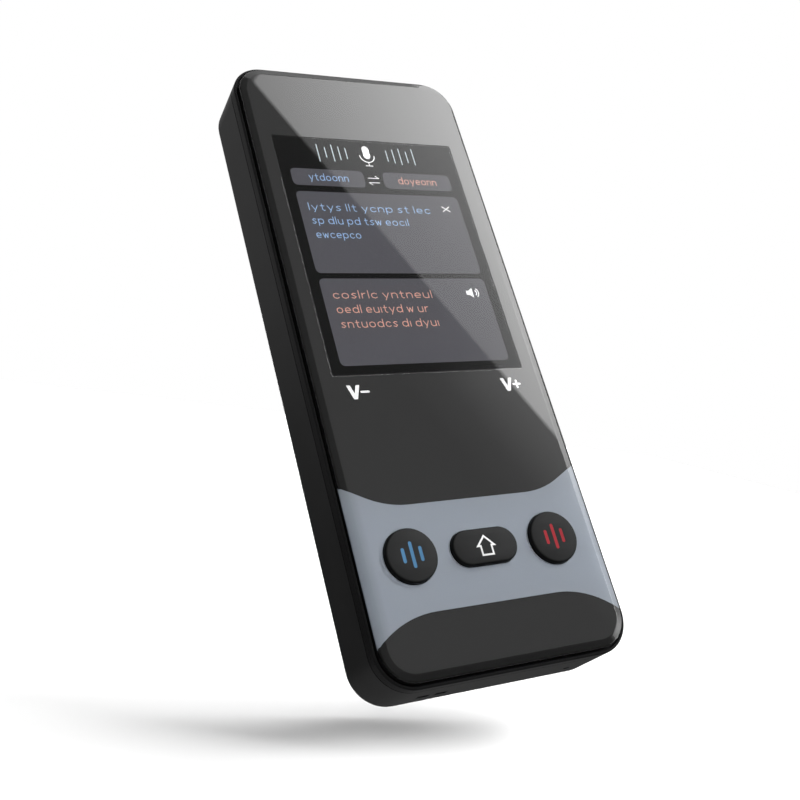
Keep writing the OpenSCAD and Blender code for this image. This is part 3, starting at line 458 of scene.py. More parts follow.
def lit(name, colour):
    """Light of one colour through the panel's square pixels, and the same colour in room light"""
    material, tree = finish(name, Specular_IOR_Level=0.0, Emission_Strength=backlight_and_painted_glow)
    cells = add_node(tree, "TexBrick", {
        "Vector": object_place(tree), "Scale": 1 / (2 * pixel * MM), "Mortar Size": 0.03,
        "Brick Width": 0.5, "Row Height": 0.5, "Color1": (*lighter(colour, 1.08), 1),
        "Color2": (*lighter(colour, 0.92), 1), "Mortar": (*lighter(colour, 0.7), 1)},
        offset=0.0).outputs["Color"]
    feed(tree, Emission_Color=cells, Base_Color=cells, Roughness=clouded(tree, 4, 0.4, 0.5))
    return material


def outline(w, l, r, centre=(0, 0), steps=8):
    """Points round a rectangle with round corners, anticlockwise"""
    # a full round end keeps a hair of straight, so that no two points fall together
    r = min(r, w / 2 - 0.0001, l / 2 - 0.0001)
    points = []
    for corner, (sx, sy) in enumerate(((1, 1), (-1, 1), (-1, -1), (1, -1))):
        for i in range(steps + 1):
            angle = math.pi / 2 * (corner + i / steps)
            points.append((centre[0] + sx * (w / 2 - r) + r * math.cos(angle),
                           centre[1] + sy * (l / 2 - r) + r * math.sin(angle)))
    return points


def join_rings(bm, low, high):
    for i in range(len(low)):
        j = (i + 1) % len(low)
        bm.faces.new((low[i], low[j], high[j], high[i]))


def fill(bm, rings):
    """Flat face inside the first ring and outside the others"""
    flat = [vertex for ring in rings for vertex in ring]
    for triangle in geometry.tessellate_polygon([[vertex.co for vertex in ring] for ring in rings]):
        bm.faces.new([flat[i] for i in triangle])


def plate(bm, points, z0, z1):
    """Flat plate between two heights"""
    low, high = ([bm.verts.new((x, y, z)) for x, y in points] for z in (z0, z1))
    fill(bm, [low])
    fill(bm, [high])
    join_rings(bm, low, high)


def keep(tree, mesh, name, value):
    """Store a vector on each edge of a mesh"""
    return add_node(tree, "GeometryNodeStoreNamedAttribute", {
        "Geometry": mesh, "Name": name, "Value": value}, data_type="FLOAT_VECTOR", domain="EDGE")


def kept(tree, name):
    return add_node(tree, "GeometryNodeInputNamedAttribute", {"Name": name},
                    data_type="FLOAT_VECTOR").outputs["Attribute"]


def joined(tree, *nodes):
    join = add_node(tree, "GeometryNodeJoinGeometry", {})
    for node in nodes:
        put(tree, node, join.inputs[0])
    return join


# Round-ended stroke of one width along each edge of the mesh
stroke_tree, stroke_in = begin_tree("strokes", {
    "Width": "Float", "Thickness": "Float", "Finish": "Material"})
stroke_ends = add_node(stroke_tree, "GeometryNodeInputMeshEdgeVertices", {})
stroke_run = add_node(stroke_tree, "VectorMath", {
    0: stroke_ends.outputs["Position 2"], 1: stroke_ends.outputs["Position 1"]},
    operation="SUBTRACT")
stroke_length = add_node(stroke_tree, "VectorMath", {0: stroke_run}, operation="LENGTH")
stroke_scale = add_node(stroke_tree, "CombineXYZ", {
    "X": stroke_length.outputs["Value"], "Y": stroke_in["Width"], "Z": stroke_in["Thickness"]})
stroke_edges = keep(stroke_tree, stroke_in["Mesh"], "stroke_scale", stroke_scale)
stroke_edges = keep(stroke_tree, stroke_edges, "stroke_run", stroke_run)
stroke_middles = add_node(stroke_tree, "GeometryNodeMeshToPoints", {"Mesh": stroke_edges}, mode="EDGES")
stroke_turn = add_node(stroke_tree, "FunctionNodeAlignRotationToVector", {
    "Vector": kept(stroke_tree, "stroke_run")}, axis="X", pivot_axis="Z")
stroke_bars = add_node(stroke_tree, "GeometryNodeInstanceOnPoints", {
    "Points": stroke_middles,
    "Instance": add_node(stroke_tree, "GeometryNodeMeshCube", {"Size": (1, 1, 1)}),
    "Rotation": stroke_turn, "Scale": kept(stroke_tree, "stroke_scale")})
cap_scale = add_node(stroke_tree, "CombineXYZ", {
    "X": stroke_in["Width"], "Y": stroke_in["Width"], "Z": stroke_in["Thickness"]})
stroke_caps = add_node(stroke_tree, "GeometryNodeInstanceOnPoints", {
    "Points": stroke_in["Mesh"],
    "Instance": add_node(stroke_tree, "GeometryNodeMeshCylinder", {
        "Vertices": 12, "Radius": 0.5, "Depth": 1.0}),
    "Scale": cap_scale})
end_tree(stroke_tree, joined(stroke_tree, stroke_bars, stroke_caps), stroke_in["Finish"])

picture_z = box_mm("lcd_panel")[1].z
picture_rise = 0.45
film_t = 0.02


def strokes(name, lines, width, material, height=1):
    """Strokes on the display along lines of points; height 2 lies over the cards"""
    points, edges = [], []
    z = picture_z + film_t * (height - 0.5)
    for line in lines:
        edges += [(len(points) + i, len(points) + i + 1) for i in range(len(line) - 1)]
        points += [(x, y + picture_rise, z) for x, y in line]
    piece = grow(name, stroke_tree, points_mesh(name, points, edges), {
        "Width": width * MM, "Thickness": film_t * MM, "Finish": material})
    return fit_piece(piece, material, "case", "backlight_film")


card_r = 1.0
card_boxes = [(-17.1, 17.5, 13.4, 31.3), (-17.05, 17.5, -5.5, 12.25),
              (-17.06, -2.0, 32.7, 36.55), (2.13, 17.1, 32.7, 36.55)]
bm = bmesh.new()
for x0, x1, y0, y1 in card_boxes:
    card_centre = ((x0 + x1) / 2, (y0 + y1) / 2 + picture_rise)
    plate(bm, outline(x1 - x0, y1 - y0, card_r, card_centre), picture_z, picture_z + film_t)
new_piece("picture_cards", bm, lit("card_grey", (0.0765, 0.0755, 0.086)), "case", "backlight_film")


# Small made-up signs that stand for letters, drawn as strokes in a box 1 high
ring_sign = [(0, 0.5), (0.08, 0.85), (0.38, 1), (0.68, 0.85), (0.76, 0.5), (0.68, 0.15), (0.38, 0),
             (0.08, 0.15), (0, 0.5)]
letter_signs = [
    [ring_sign], [ring_sign, [(0.76, 0), (0.76, 1.5)]], [ring_sign, [(0, 1), (0, -0.45)]],
    [[(0, 0), (0, 1)], [(0, 0.7), (0.2, 0.98), (0.48, 0.98), (0.66, 0.75), (0.66, 0)]],
    [[(0, 1), (0, 0.25), (0.18, 0), (0.48, 0), (0.66, 0.25)], [(0.66, 1), (0.66, 0)]],
    [[(0, 0), (0, 1)], [(0, 0.6), (0.2, 0.95), (0.42, 0.98)]],
    [[(0, 0), (0, 1)]], [[(0, 0), (0, 1.5)]],
    [[(0.2, 1.35), (0.2, 0.2), (0.33, 0), (0.48, 0)], [(0, 0.95), (0.46, 0.95)]],
    [[(0.66, 0.82), (0.4, 1), (0.1, 0.86), (0, 0.5), (0.1, 0.14), (0.4, 0), (0.66, 0.18)]],
    [[(0, 0.5), (0.72, 0.5), (0.64, 0.86), (0.36, 1), (0.08, 0.85), (0, 0.45), (0.14, 0.08), (0.62, 0.08)]],
    [[(0, 1), (0.2, 0), (0.42, 0.85), (0.64, 0), (0.84, 1)]],
    [[(0.54, 0.9), (0.28, 1), (0.04, 0.78), (0.52, 0.28), (0.3, 0), (0, 0.12)]],
    [[(0, 1), (0.36, 0.05)], [(0.7, 1), (0.22, -0.4)]]]
letter_order = random.Random(11)
letter_h = 1.05
letter_gap = 0.36
word_gap = 0.4


def lettering(*rows):
    """Rows of made-up words, each row between two places at one height, with so many signs a word"""
    lines = []
    for x0, x1, y, counts in rows:
        placed = []
        reach = 0.0
        for count in counts:
            for i in range(count):
                sign = letter_order.choice(letter_signs)
                placed.append((reach, sign))
                reach += max(px for line in sign for px, py in line) + letter_gap
            reach += word_gap
        scale = (x1 - x0) / (reach - letter_gap - word_gap)
        lines += [[(x0 + (start + px) * scale, y + py * letter_h) for px, py in line]
                  for start, sign in placed for line in sign]
    return lines


strokes("picture_text_blue", lettering(
    (-15.2, 10.3, 27.1, (5, 3, 4, 2, 3)), (-15.2, 4.7, 24.1, (2, 3, 2, 3, 5)), (-15.1, -6.2, 21.0, (7,)),
    (-13.5, -5.5, 33.95, (7,))), 0.155, lit("text_blue", (0.3, 0.44, 0.63)), height=2)
strokes("picture_text_orange", lettering(
    (-15.0, 5.0, 8.1, (7, 7)), (-15.0, 3.4, 5.1, (4, 6, 1, 2)), (-14.9, 4.7, 2.1, (8, 2, 4)),
    (5.4, 13.7, 33.95, (7,))), 0.16, lit("text_orange", (0.6, 0.34, 0.27)), height=2)

# the place, the low end and the high end of each line of the sound waves
waves = [(-10.3, 38.5, 42.4), (-8.7, 39.5, 41.8), (-7.2, 38.7, 42.5), (-5.8, 39.1, 42.1), (-4.36, 39.4, 41.9),
         (4.47, 39.35, 41.85), (5.93, 39.0, 42.2), (7.4, 38.7, 42.5), (8.9, 39.3, 41.9), (10.36, 38.8, 42.6)]
strokes("picture_waves", [[(x, low), (x, high)] for x, low, high in waves],
        0.21, lit("wave_cyan", (0.52, 0.59, 0.62)))


def arc(x, y, r, angles):
    """Points round a centre, at angles in degrees"""
    return [(x + r * math.cos(math.radians(a)), y + r * math.sin(math.radians(a))) for a in angles]


sign_white = lit("sign_white", (0.95, 0.95, 0.95))
strokes("picture_signs", [
    arc(0, 40.35, 1.55, range(-180, 1, 15)), [(0, 38.8), (0, 37.95)], [(-0.7, 37.95), (0.7, 37.95)]],
        0.17, sign_white)
strokes("picture_arrows", [
    [(-1.1, 35.0), (1.15, 35.0), (0.5, 35.5)], [(1.1, 33.95), (-1.15, 33.95), (-0.5, 33.45)]],
        0.15, sign_white)
strokes("picture_microphone", [[(0, 40.3), (0, 41.95)]], 1.45, sign_white)
strokes("picture_close_sign", [[(13.35, 27.7), (14.95, 28.85)], [(13.35, 28.85), (14.95, 27.7)]],
        0.17, sign_white, height=2)
strokes("picture_loudspeaker_sound", [arc(14.35, 9.1, r, range(-50, 51, 20)) for r in (0.65, 1.1)],
        0.16, sign_white, height=2)
loudspeaker_sign = [(12.75, 8.65), (13.35, 8.65), (14.15, 8.05), (14.15, 10.15), (13.35, 9.55), (12.75, 9.55)]
bm = bmesh.new()
plate(bm, [(x, y + picture_rise) for x, y in loudspeaker_sign], picture_z + film_t, picture_z + 2 * film_t)
new_piece("picture_loudspeaker", bm, sign_white, "case", "backlight_film")

# ---- Glass carrier ----
# A black moulded plate that the glass is taped to. It clamps the display, keeps the keys in by
# their flanges and takes the board screws in its bosses.
dress(moulded("carrier_plastic", (0.012, 0.012, 0.012), 0.55), "front_carrier")
dress(moulded("tape_black", (0.01, 0.01, 0.01), 0.6, texture=0.4), "glass_tape")
dress(moulded("sensor_film", (0.1, 0.1, 0.11), 0.1, texture=0.3, depth=0.001, Alpha=0.01,
              Specular_IOR_Level=0.0), "touch_sensor")

# ---- Front frame ----
# The satin black ring round the glass. Its rim is rounded on the outside, the glass sits inside it
# behind an open groove, and a tongue under it slides into the rear shell.
frame_low, frame_high = box_mm("front_frame")
ring_size = frame_high - frame_low
ring_corner = 6.65
rim_z = frame_high.z
ring_z = 11.05
tongue_z = 9.85
shelf_z = 11.95
rim_round = 0.3
post_r = 1.31
post_wall = 1.18
post_spacing = (39.15, 112.95)
# across the section: how far inside the outer wall, and how high
rim_arc = arc(rim_round, rim_z - rim_round, rim_round, range(180, 89, -10))
ring_section = [(0.08, ring_z), (0, ring_z + 0.08)] + rim_arc + [
    (0.46, rim_z), (0.5, rim_z - 0.04), (0.5, shelf_z), (2.2, shelf_z), (2.2, ring_z), (1.5, ring_z),
    (1.5, tongue_z), (0.98, tongue_z), (0.9, tongue_z + 0.08), (0.9, ring_z)]
ring_tree, ring_in = begin_tree("front_ring", {
    "Width": "Float", "Length": "Float", "Corner": "Float", "Corner Steps": "Int", "Post Spacing X": "Float",
    "Post Spacing Y": "Float", "Post Radius": "Float", "Post Middle": "Float", "Finish": "Material"})
ring_path = add_node(ring_tree, "GeometryNodeFilletCurve", {
    "Curve": add_node(ring_tree, "GeometryNodeCurvePrimitiveQuadrilateral", {
        "Width": ring_in["Width"], "Height": ring_in["Length"]}),
    "Count": ring_in["Corner Steps"], "Radius": ring_in["Corner"]}, mode="POLY")
ring_upright = add_node(ring_tree, "GeometryNodeSetCurveNormal", {"Curve": ring_path}, mode="Z_UP")
ring_profile = add_node(ring_tree, "GeometryNodeMeshToCurve", {"Mesh": ring_in["Mesh"]})
ring_sweep = add_node(ring_tree, "GeometryNodeCurveToMesh", {
    "Curve": ring_upright, "Profile Curve": ring_profile})
post_grid = add_node(ring_tree, "GeometryNodeMeshGrid", {
    "Size X": ring_in["Post Spacing X"], "Size Y": ring_in["Post Spacing Y"],
    "Vertices X": 2, "Vertices Y": 2})
post_lift = add_node(ring_tree, "CombineXYZ", {"Z": ring_in["Post Middle"]})
post_places = add_node(ring_tree, "GeometryNodeTransform", {
    "Geometry": post_grid.outputs["Mesh"], "Translation": post_lift})
post_tube = add_node(ring_tree, "GeometryNodeCurveToMesh", {
    "Curve": add_node(ring_tree, "GeometryNodeCurvePrimitiveCircle", {
        "Resolution": 32, "Radius": ring_in["Post Radius"]}, mode="RADIUS"),
    "Profile Curve": add_node(ring_tree, "GeometryNodeCurvePrimitiveQuadrilateral", {
        "Width": post_wall * MM, "Height": (shelf_z - frame_low.z) * MM})})
post_set = add_node(ring_tree, "GeometryNodeInstanceOnPoints", {
    "Points": post_places, "Instance": post_tube})
end_tree(ring_tree, joined(ring_tree, ring_sweep, post_set), ring_in["Finish"])

frame_plastic = moulded("frame_plastic", (0.0118, 0.0118, 0.0122), 0.3, texture=0.2, depth=0.002,
                        Specular_IOR_Level=0.12)
section_mesh = points_mesh("ring_section", [(-inside, -z, 0) for inside, z in ring_section],
                           [(i, (i + 1) % len(ring_section)) for i in range(len(ring_section))])
front_ring = grow("front_ring", ring_tree, section_mesh, {
    "Width": ring_size.x * MM, "Length": ring_size.y * MM, "Corner": ring_corner * MM, "Corner Steps": 32,
    "Post Spacing X": post_spacing[0] * MM, "Post Spacing Y": post_spacing[1] * MM,
    "Post Radius": post_r * MM, "Post Middle": (shelf_z + frame_low.z) / 2 * MM, "Finish": frame_plastic})
bm = bmesh.new()
bm.from_mesh(front_ring.data)
bmesh.ops.remove_doubles(bm, verts=bm.verts, dist=1e-7)
bmesh.ops.recalc_face_normals(bm, faces=bm.faces)
bm.to_mesh(front_ring.data)
bm.free()
fit_piece(front_ring, frame_plastic, "case", "frame_plastic", "front_frame", crease=40)

# ---- Keys ----
# Three satin black keys with a crisp top edge, a flange that keeps them in and a stem underneath.
# Each has an inlay, moulded in a second colour, in pockets of its top. The power key is in the wall.

flange_w = 0.6
flange_t = 0.6
stem_r = 1.3
stem_h = 0.4
pocket_depth = 0.4
top_bevel = 0.38
# across the bevel: how far out and how high, as shares of its size
bevel_profile = ((0, -1), (-0.3, -0.45), (-0.7, -0.12), (-1, 0))


def key_cap(name, body, pockets):
    """Key with pockets in its top, each an outline and perhaps the outline of an island in it"""
    low, high = box_mm(name)
    centre = ((low.x + high.x) / 2, (low.y + high.y) / 2)
    w, l = high.x - low.x - 2 * flange_w, high.y - low.y - 2 * flange_w
    flange_z = low.z + stem_h
    bm = bmesh.new()

    def ring(out, z):
        return [bm.verts.new((x, y, z)) for x, y in
                outline(w + 2 * out, l + 2 * out, l / 2 + out, centre, steps=20)]

    def loop(points, z):
        return [bm.verts.new((centre[0] + x, centre[1] + y, z)) for x, y in points]

    stem = outline(2 * stem_r, 2 * stem_r, stem_r)
    stem_low, stem_high = loop(stem, low.z), loop(stem, flange_z)
    fill(bm, [stem_low])
    join_rings(bm, stem_low, stem_high)
    flange_low, flange_high = ring(flange_w, flange_z), ring(flange_w, flange_z + flange_t)
    fill(bm, [flange_low, stem_high])
    join_rings(bm, flange_low, flange_high)
    foot = ring(0, flange_z + flange_t)
    fill(bm, [flange_high, foot])
    for out, up in bevel_profile:
        head = ring(out * top_bevel, high.z + up * top_bevel)
        join_rings(bm, foot, head)
        foot = head
    mouths = [[loop(points, high.z) for points in pocket] for pocket in pockets]
    fill(bm, [foot] + [mouth[0] for mouth in mouths])
    for pocket, mouth in zip(pockets, mouths):
        floor_loops = [loop(points, high.z - pocket_depth) for points in pocket]
        for top_loop, floor_loop in zip(mouth, floor_loops):
            join_rings(bm, floor_loop, top_loop)
        fill(bm, floor_loops)
        for island in mouth[1:]:
            fill(bm, [island])
    cap = new_piece(name + "_cap", bm, key_plastic, body, "key_plastic", name, crease=25)
    # light that has come through the glass passes the keys, so they throw no shade on the ink
    cap.visible_diffuse = cap.visible_glossy = cap.visible_transmission = False


def blend(tree, kind, factor, a, b):
    """Two colours put together"""
    return add_node(tree, "Mix", {"Factor": factor, 6: a, 7: b}, data_type="RGBA",
                    blend_type=kind).outputs[2]


# painted shade: the sides are coloured darker than the top
key_plastic, key_tree = finish("key_plastic", Specular_IOR_Level=0.05)
key_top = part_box("left_key")[1].z
key_side_shade = share(key_tree, coordinate(key_tree, "Z"), key_top - 0.2 * MM, key_top - 0.03 * MM)
key_clouds = tone(key_tree, grain(key_tree, 3),
                  (0.3, (0.026, 0.0264, 0.0268)), (0.7, (0.0288, 0.0292, 0.0296)))
key_grain = grain(key_tree, 0.16, detail=3)
feed(key_tree, Base_Color=blend(key_tree, "MIX", key_side_shade, (0.008, 0.008, 0.0082, 1), key_clouds),
     Roughness=level(key_tree, key_grain, 0.55, 0.65))
relief(key_tree, key_grain, 0.004)
for icon, inlay, colour in (("left_key_icon", "inlay_blue", (0.075, 0.2, 0.36)),
                            ("home_key_icon", "inlay_white", (0.85, 0.85, 0.85)),
                            ("right_key_icon", "inlay_red", (0.3, 0.022, 0.03))):
    dress(moulded(inlay, colour, 0.5, texture=0.2, depth=0.002, Specular_IOR_Level=0.1), icon)
dress(frame_plastic, "side_key")

bar_w = 0.6
bar_pockets = [[outline(bar_w, length, bar_w / 2, (x, 0), steps=6)]
               for x, length in ((-1.6, 2.55), (0, 4.5), (1.6, 2.55))]


def house(tip, wing, eave, body, foot):
    return [(0, tip), (-wing, eave), (-body, eave), (-body, foot), (body, foot), (body, eave), (wing, eave)]


house_tip, house_wing, house_eave, house_body, house_foot = 1.85, 1.95, -0.2, 1.2, -1.8
house_line = 0.32
house_slope = (house_tip - house_eave) / house_wing
inner_tip = house_tip - house_line * math.sqrt(1 + house_slope ** 2)
inner_eave = house_line + house_eave
house_pocket = [
    house(house_tip, house_wing, house_eave, house_body, house_foot),
    house(inner_tip, (inner_tip - inner_eave) / house_slope, inner_eave, house_body - house_line,
          house_line + house_foot)]
key_cap("left_key", "left_talk_key", bar_pockets)
key_cap("home_key", "home_key_cap", [house_pocket])
key_cap("right_key", "right_talk_key", bar_pockets)

# ---- Ink under the glass ----
# Three inks screened on the back of the glass: a black border, a blue-grey band round the keys and
# white volume marks, which glow a little with painted light.


def screened(name, colour, glow=0.0):
    """Screen-printed ink, with the faint dots of its mesh and painted shade along its left edge; a glow is
    painted light that the ink gives off
    """
    material, tree = finish(name, Specular_IOR_Level=0.0, Emission_Strength=glow)
    dots = add_node(tree, "TexVoronoi", {
        "Vector": object_place(tree), "Scale": 1 / (0.12 * MM), "Randomness": 0.4}).outputs["Distance"]
    ink = tone(tree, dots, (0.1, lighter(colour, 1.02)), (0.9, lighter(colour, 0.96)))
    # painted shade: the ink is made darker along the sheet's left edge
    even = share(tree, coordinate(tree, "X"), -22.8 * MM, -20.2 * MM, 0.7, 1.0)
    edge_shaded_ink = add_node(tree, "VectorMath", {0: ink, "Scale": even}, operation="SCALE")
    feed(tree, Base_Color=edge_shaded_ink, Roughness=clouded(tree, 3, 0.5, 0.6))
    return material


dress(screened("ink_black", (0.008, 0.008, 0.008)), "printed_border")
dress(screened("ink_grey", (0.495, 0.546, 0.616)), "printed_band")
# painted light: the white marks glow as if lit from behind
dress(screened("ink_white", (0.95, 0.95, 0.95), glow=backlight_and_painted_glow), "printed_marks")

# ---- Cover glass ----
# One sheet of clear glass, ground to a curved edge all round and cut out for the keys. It is bonded
# to the display with clear adhesive, and has an anti-glare coat over the window.


def ring_at(bm, inset, z, steps=20):
    """Ring of points inside the glass's outline at one height"""
    w, l, r = glass_w - 2 * inset, glass_l - 2 * inset, glass_r - inset
    return [bm.verts.new((x, y, z)) for x, y in outline(w, l, r, steps=steps)]


glass_low, glass_high = box_mm("cover_glass")
glass_w, glass_l = glass_high.x - glass_low.x, glass_high.y - glass_low.y
glass_r = 5.75
glass_top = glass_high.z
edge_w = 1.3
edge_drop = 0.5
edge_round = 0.3
# the ink lies in the glass's lowest layer, and the adhesive runs down to the panel
glass_bottom = glass_low.z - 0.03
bond_bottom = picture_z - 0.01
window_low = Vector((-19.3, -7.1))
window_high = Vector((19.3, 44.1))
hole_bevel = 0.12
key_gap = 0.15
key_holes = []
for key in ("left_key", "home_key", "right_key"):
    key_low, key_high = box_mm(key)
    hole_w, hole_l = (key_high[i] - key_low[i] - 2 * flange_w + 2 * key_gap for i in range(2))
    key_holes.append(outline(hole_w, hole_l, hole_l / 2, tuple((key_low + key_high) / 2)[:2], steps=16))


def grown(loop, by):
    """The same hole, wider by a bevel"""
    middle = Vector((sum(x for x, y in loop) / len(loop), sum(y for x, y in loop) / len(loop)))
    half = max(abs(x - middle.x) for x, y in loop) - max(abs(y - middle.y) for x, y in loop)
    points = []
    for x, y in loop:
        heart = Vector((max(-half, min(half, x - middle.x)), 0)) + middle
        out = (Vector((x, y)) - heart).normalized()
        points.append((x + out.x * by, y + out.y * by))
    return points


def square_ring(bm, inset, z):
    x0, y0 = window_low + Vector((inset, inset))
    x1, y1 = window_high - Vector((inset, inset))
    return [bm.verts.new((x, y, z)) for x, y in ((x0, y0), (x1, y0), (x1, y1), (x0, y1))]


bm = bmesh.new()
skirt = ring_at(bm, 0, glass_bottom)
previous = skirt
# the edge starts with a small round and goes on as an even slope up to the flat
edge_profile = arc(edge_round, 0, edge_round, range(180, 99, -10))
edge_profile += [(edge_round + (edge_w - edge_round) * i / 5, edge_round + (edge_drop - edge_round) * i / 5)
                 for i in range(1, 6)]
for inset, rise in edge_profile:
    ring = ring_at(bm, inset, glass_top - edge_drop + rise)
    join_rings(bm, previous, ring)
    previous = ring
flat_ring = ring_at(bm, edge_w + 0.12, glass_top)
join_rings(bm, previous, flat_ring)
top_holes, bottom_holes = [], []
for hole in key_holes:
    high = [bm.verts.new((x, y, glass_top)) for x, y in grown(hole, hole_bevel)]
    middle = [bm.verts.new((x, y, glass_top - hole_bevel)) for x, y in hole]
    low = [bm.verts.new((x, y, glass_bottom)) for x, y in hole]
    join_rings(bm, high, middle)
    join_rings(bm, middle, low)
    top_holes.append(high)
    bottom_holes.append(low)
window_top = square_ring(bm, 0, glass_top)
fill(bm, [flat_ring, *top_holes, window_top])
window_face = bm.faces.new(window_top)
well_top = square_ring(bm, 0.03, glass_bottom)
well_bottom = square_ring(bm, 0.03, bond_bottom)
fill(bm, [skirt, *bottom_holes, well_top])
join_rings(bm, well_top, well_bottom)
well_face = bm.faces.new(well_bottom)
window_face.material_index = 1
well_face.material_index = 1


def clear_glass(name, shine):
    """Clear glass with the faintest smears in its polish; a coat can take off part of its shine"""
    material, tree = finish(
        name, Transmission_Weight=1.0, IOR=1.5, Specular_Tint=(shine, shine, shine, 1))
    smears = grain(tree, 14, detail=3)
    feed(tree, Base_Color=tone(tree, smears, (0.3, (0.97, 0.975, 0.98)), (0.7, (0.99, 0.99, 0.99))),
         Roughness=level(tree, smears, 0.0, 0.004))
    return material


cover = new_piece("glass_cover", bm, None, "case", "cover_glass", "cover_glass", crease=25)
cover.data.materials.append(clear_glass("lens_glass", 3.0))
cover.data.materials.append(clear_glass("window_glass", 0.8))

# ---- Screws ----
# Blackened steel, with a cross recess: four flat heads sunk in the back, and six pan heads that
# hold the board to the glass carrier from behind.
dress(rolled("screw_steel", (0.16, 0.16, 0.165), 0.35, stretch=(1, 1, 1)), "board_screws", "case_screws")

# ---- Studio ----
# A plain pale floor under the floating device with a broad lamp of its own, three lamps for the
# device, and a bright card that only shines in gloss.
floor_up = Vector((0.164, 0.817, 0.553)).normalized()
floor_across = Vector((1, 0, 0)).cross(floor_up).normalized()
floor_along = floor_up.cross(floor_across)
floor_drop = 2.24
floor_reach = 500
lowest_corner = Vector((-22.1, -59, 0.6))
floor_centre = lowest_corner - floor_up * floor_drop


def stage_card(name, corners, *hidden_from):
    """Flat card with one face, which some kinds of ray pass"""
    mesh = bpy.data.meshes.new(name)
    mesh.from_pydata([corner * MM for corner in corners], [], [tuple(range(len(corners)))])
    card_object = add_object(name, mesh)
    for ray in hidden_from:
        setattr(card_object, "visible_" + ray, False)
    return card_object


floor = stage_card("floor", [floor_centre + (floor_across * a + floor_along * b) * floor_reach
                             for a, b in ((-1, -1), (1, -1), (1, 1), (-1, 1))],
                   "diffuse", "glossy", "transmission", "shadow")
floor_paint, floor_tree = finish("floor_paint")
floor_tree.nodes.clear()
# seen from below, the floor isn't there
floor_mix = add_node(floor_tree, "MixShader", {
    0: add_node(floor_tree, "NewGeometry", {}).outputs["Backfacing"],
    1: add_node(floor_tree, "BsdfDiffuse", {"Color": (0.86, 0.86, 0.86, 1)}),
    2: add_node(floor_tree, "BsdfTransparent", {})})
add_node(floor_tree, "OutputMaterial", {"Surface": floor_mix})
floor.data.materials.append(floor_paint)


def lamp(name, kind, place, strength, size, in_gloss=False):
    """Lamp that shines on the middle of the device and leaves the floor alone"""
    light = add_object(name, bpy.data.lights.new(name, kind))
    light.data.energy = strength
    if kind == "SUN":
        light.data.angle = size
    else:
        light.data.shape = "SQUARE"
        light.data.size = size
    light.visible_glossy = in_gloss
    light.matrix_world = Matrix.Translation(place) @ place.to_track_quat("Z", "Y").to_matrix().to_4x4()
    light.light_linking.receiver_collection = device_lit
    return light


device_lit = bpy.data.collections.new("device_lit")
device_lit.objects.link(floor)
device_lit.collection_objects[0].light_linking.link_state = "EXCLUDE"
floor_lit = bpy.data.collections.new("floor_lit")
floor_lit.objects.link(floor)
# the floor's lamp is a broad ellipse at the right, so the shadow is long and soft at its ends
floor_lamp_turn = Matrix((
    (0.249, -0.903, -0.349), (-0.143, 0.322, -0.936), (0.958, 0.283, -0.05))).transposed()
floor_lamp_away = 3
floor_lamp = lamp("lamp_floor", "AREA", Vector((0, 0, 1)), 364, 2.03)
floor_lamp.data.shape = "ELLIPSE"
floor_lamp.data.size_y = 2.65
floor_lamp.matrix_world = (Matrix.Translation(lowest_corner * MM + floor_lamp_turn.col[2] * floor_lamp_away)
                           @ floor_lamp_turn.to_4x4())
floor_lamp.light_linking.receiver_collection = floor_lit
lamp("lamp_above", "SUN", Vector((0.804, 0.566, 0.186)), 4.7, math.radians(63.5))
lamp("lamp_beside", "AREA", Vector((0.6, 0.42, 0.68)) * 0.8, 3, 0.5)
lamp("lamp_behind", "AREA", Vector((0.25, 0.2, -0.55)), 4, 0.4, in_gloss=True)

# The card's straight edge is what the glass shows as a slanting line. It is brightest some way
# inside the edge and at the line's lower end, and a faint glow runs outside it.


def grey_tone(tree, factor, *stops):
    """Grey that runs through the stops, each a place and a brightness"""
    return tone(tree, factor, *((place, (value,) * 3) for place, value in stops))


def dot(tree, vector, axis):
    return add_node(tree, "VectorMath", {0: vector, 1: axis},
                    operation="DOT_PRODUCT").outputs["Value"]


card_z = 500
card_edge = [Vector((223.3, 505.4, card_z)), Vector((394.2, 187.0, card_z))]
card_run = (card_edge[1] - card_edge[0]).normalized()
card_out = Vector((-card_run.y, card_run.x, 0))
glow_w = 80
card_w = 1920
card_start = card_edge[0] - card_run * 900 - card_out * glow_w
card_end = card_edge[0] + card_run * 1300 - card_out * glow_w
card_across = card_out * (glow_w + card_w)
shine_card = stage_card("shine_card", [
    card_start, card_end, card_end + card_across, card_start + card_across],
    "camera", "diffuse", "transmission", "shadow")
card_paint, card_tree = finish("card_paint")
card_tree.nodes.remove(card_tree.nodes["Principled BSDF"])
card_place = add_node(card_tree, "VectorMath", {
    0: object_place(card_tree), 1: card_edge[0] * MM}, operation="SUBTRACT")
card_depth = share(card_tree, dot(card_tree, card_place, card_out), -glow_w * MM, (1000 - glow_w) * MM)
card_along = share(card_tree, dot(card_tree, card_place, card_run), 0.0, 0.6)
# the card's far side is a second straight edge, which the glass shows close to the top end
card_inside = share(card_tree, dot(card_tree, card_place, card_run + card_out * 0.5125), -0.002, 0.002)
card_deep = share(card_tree, card_depth, 0.35, 0.45)
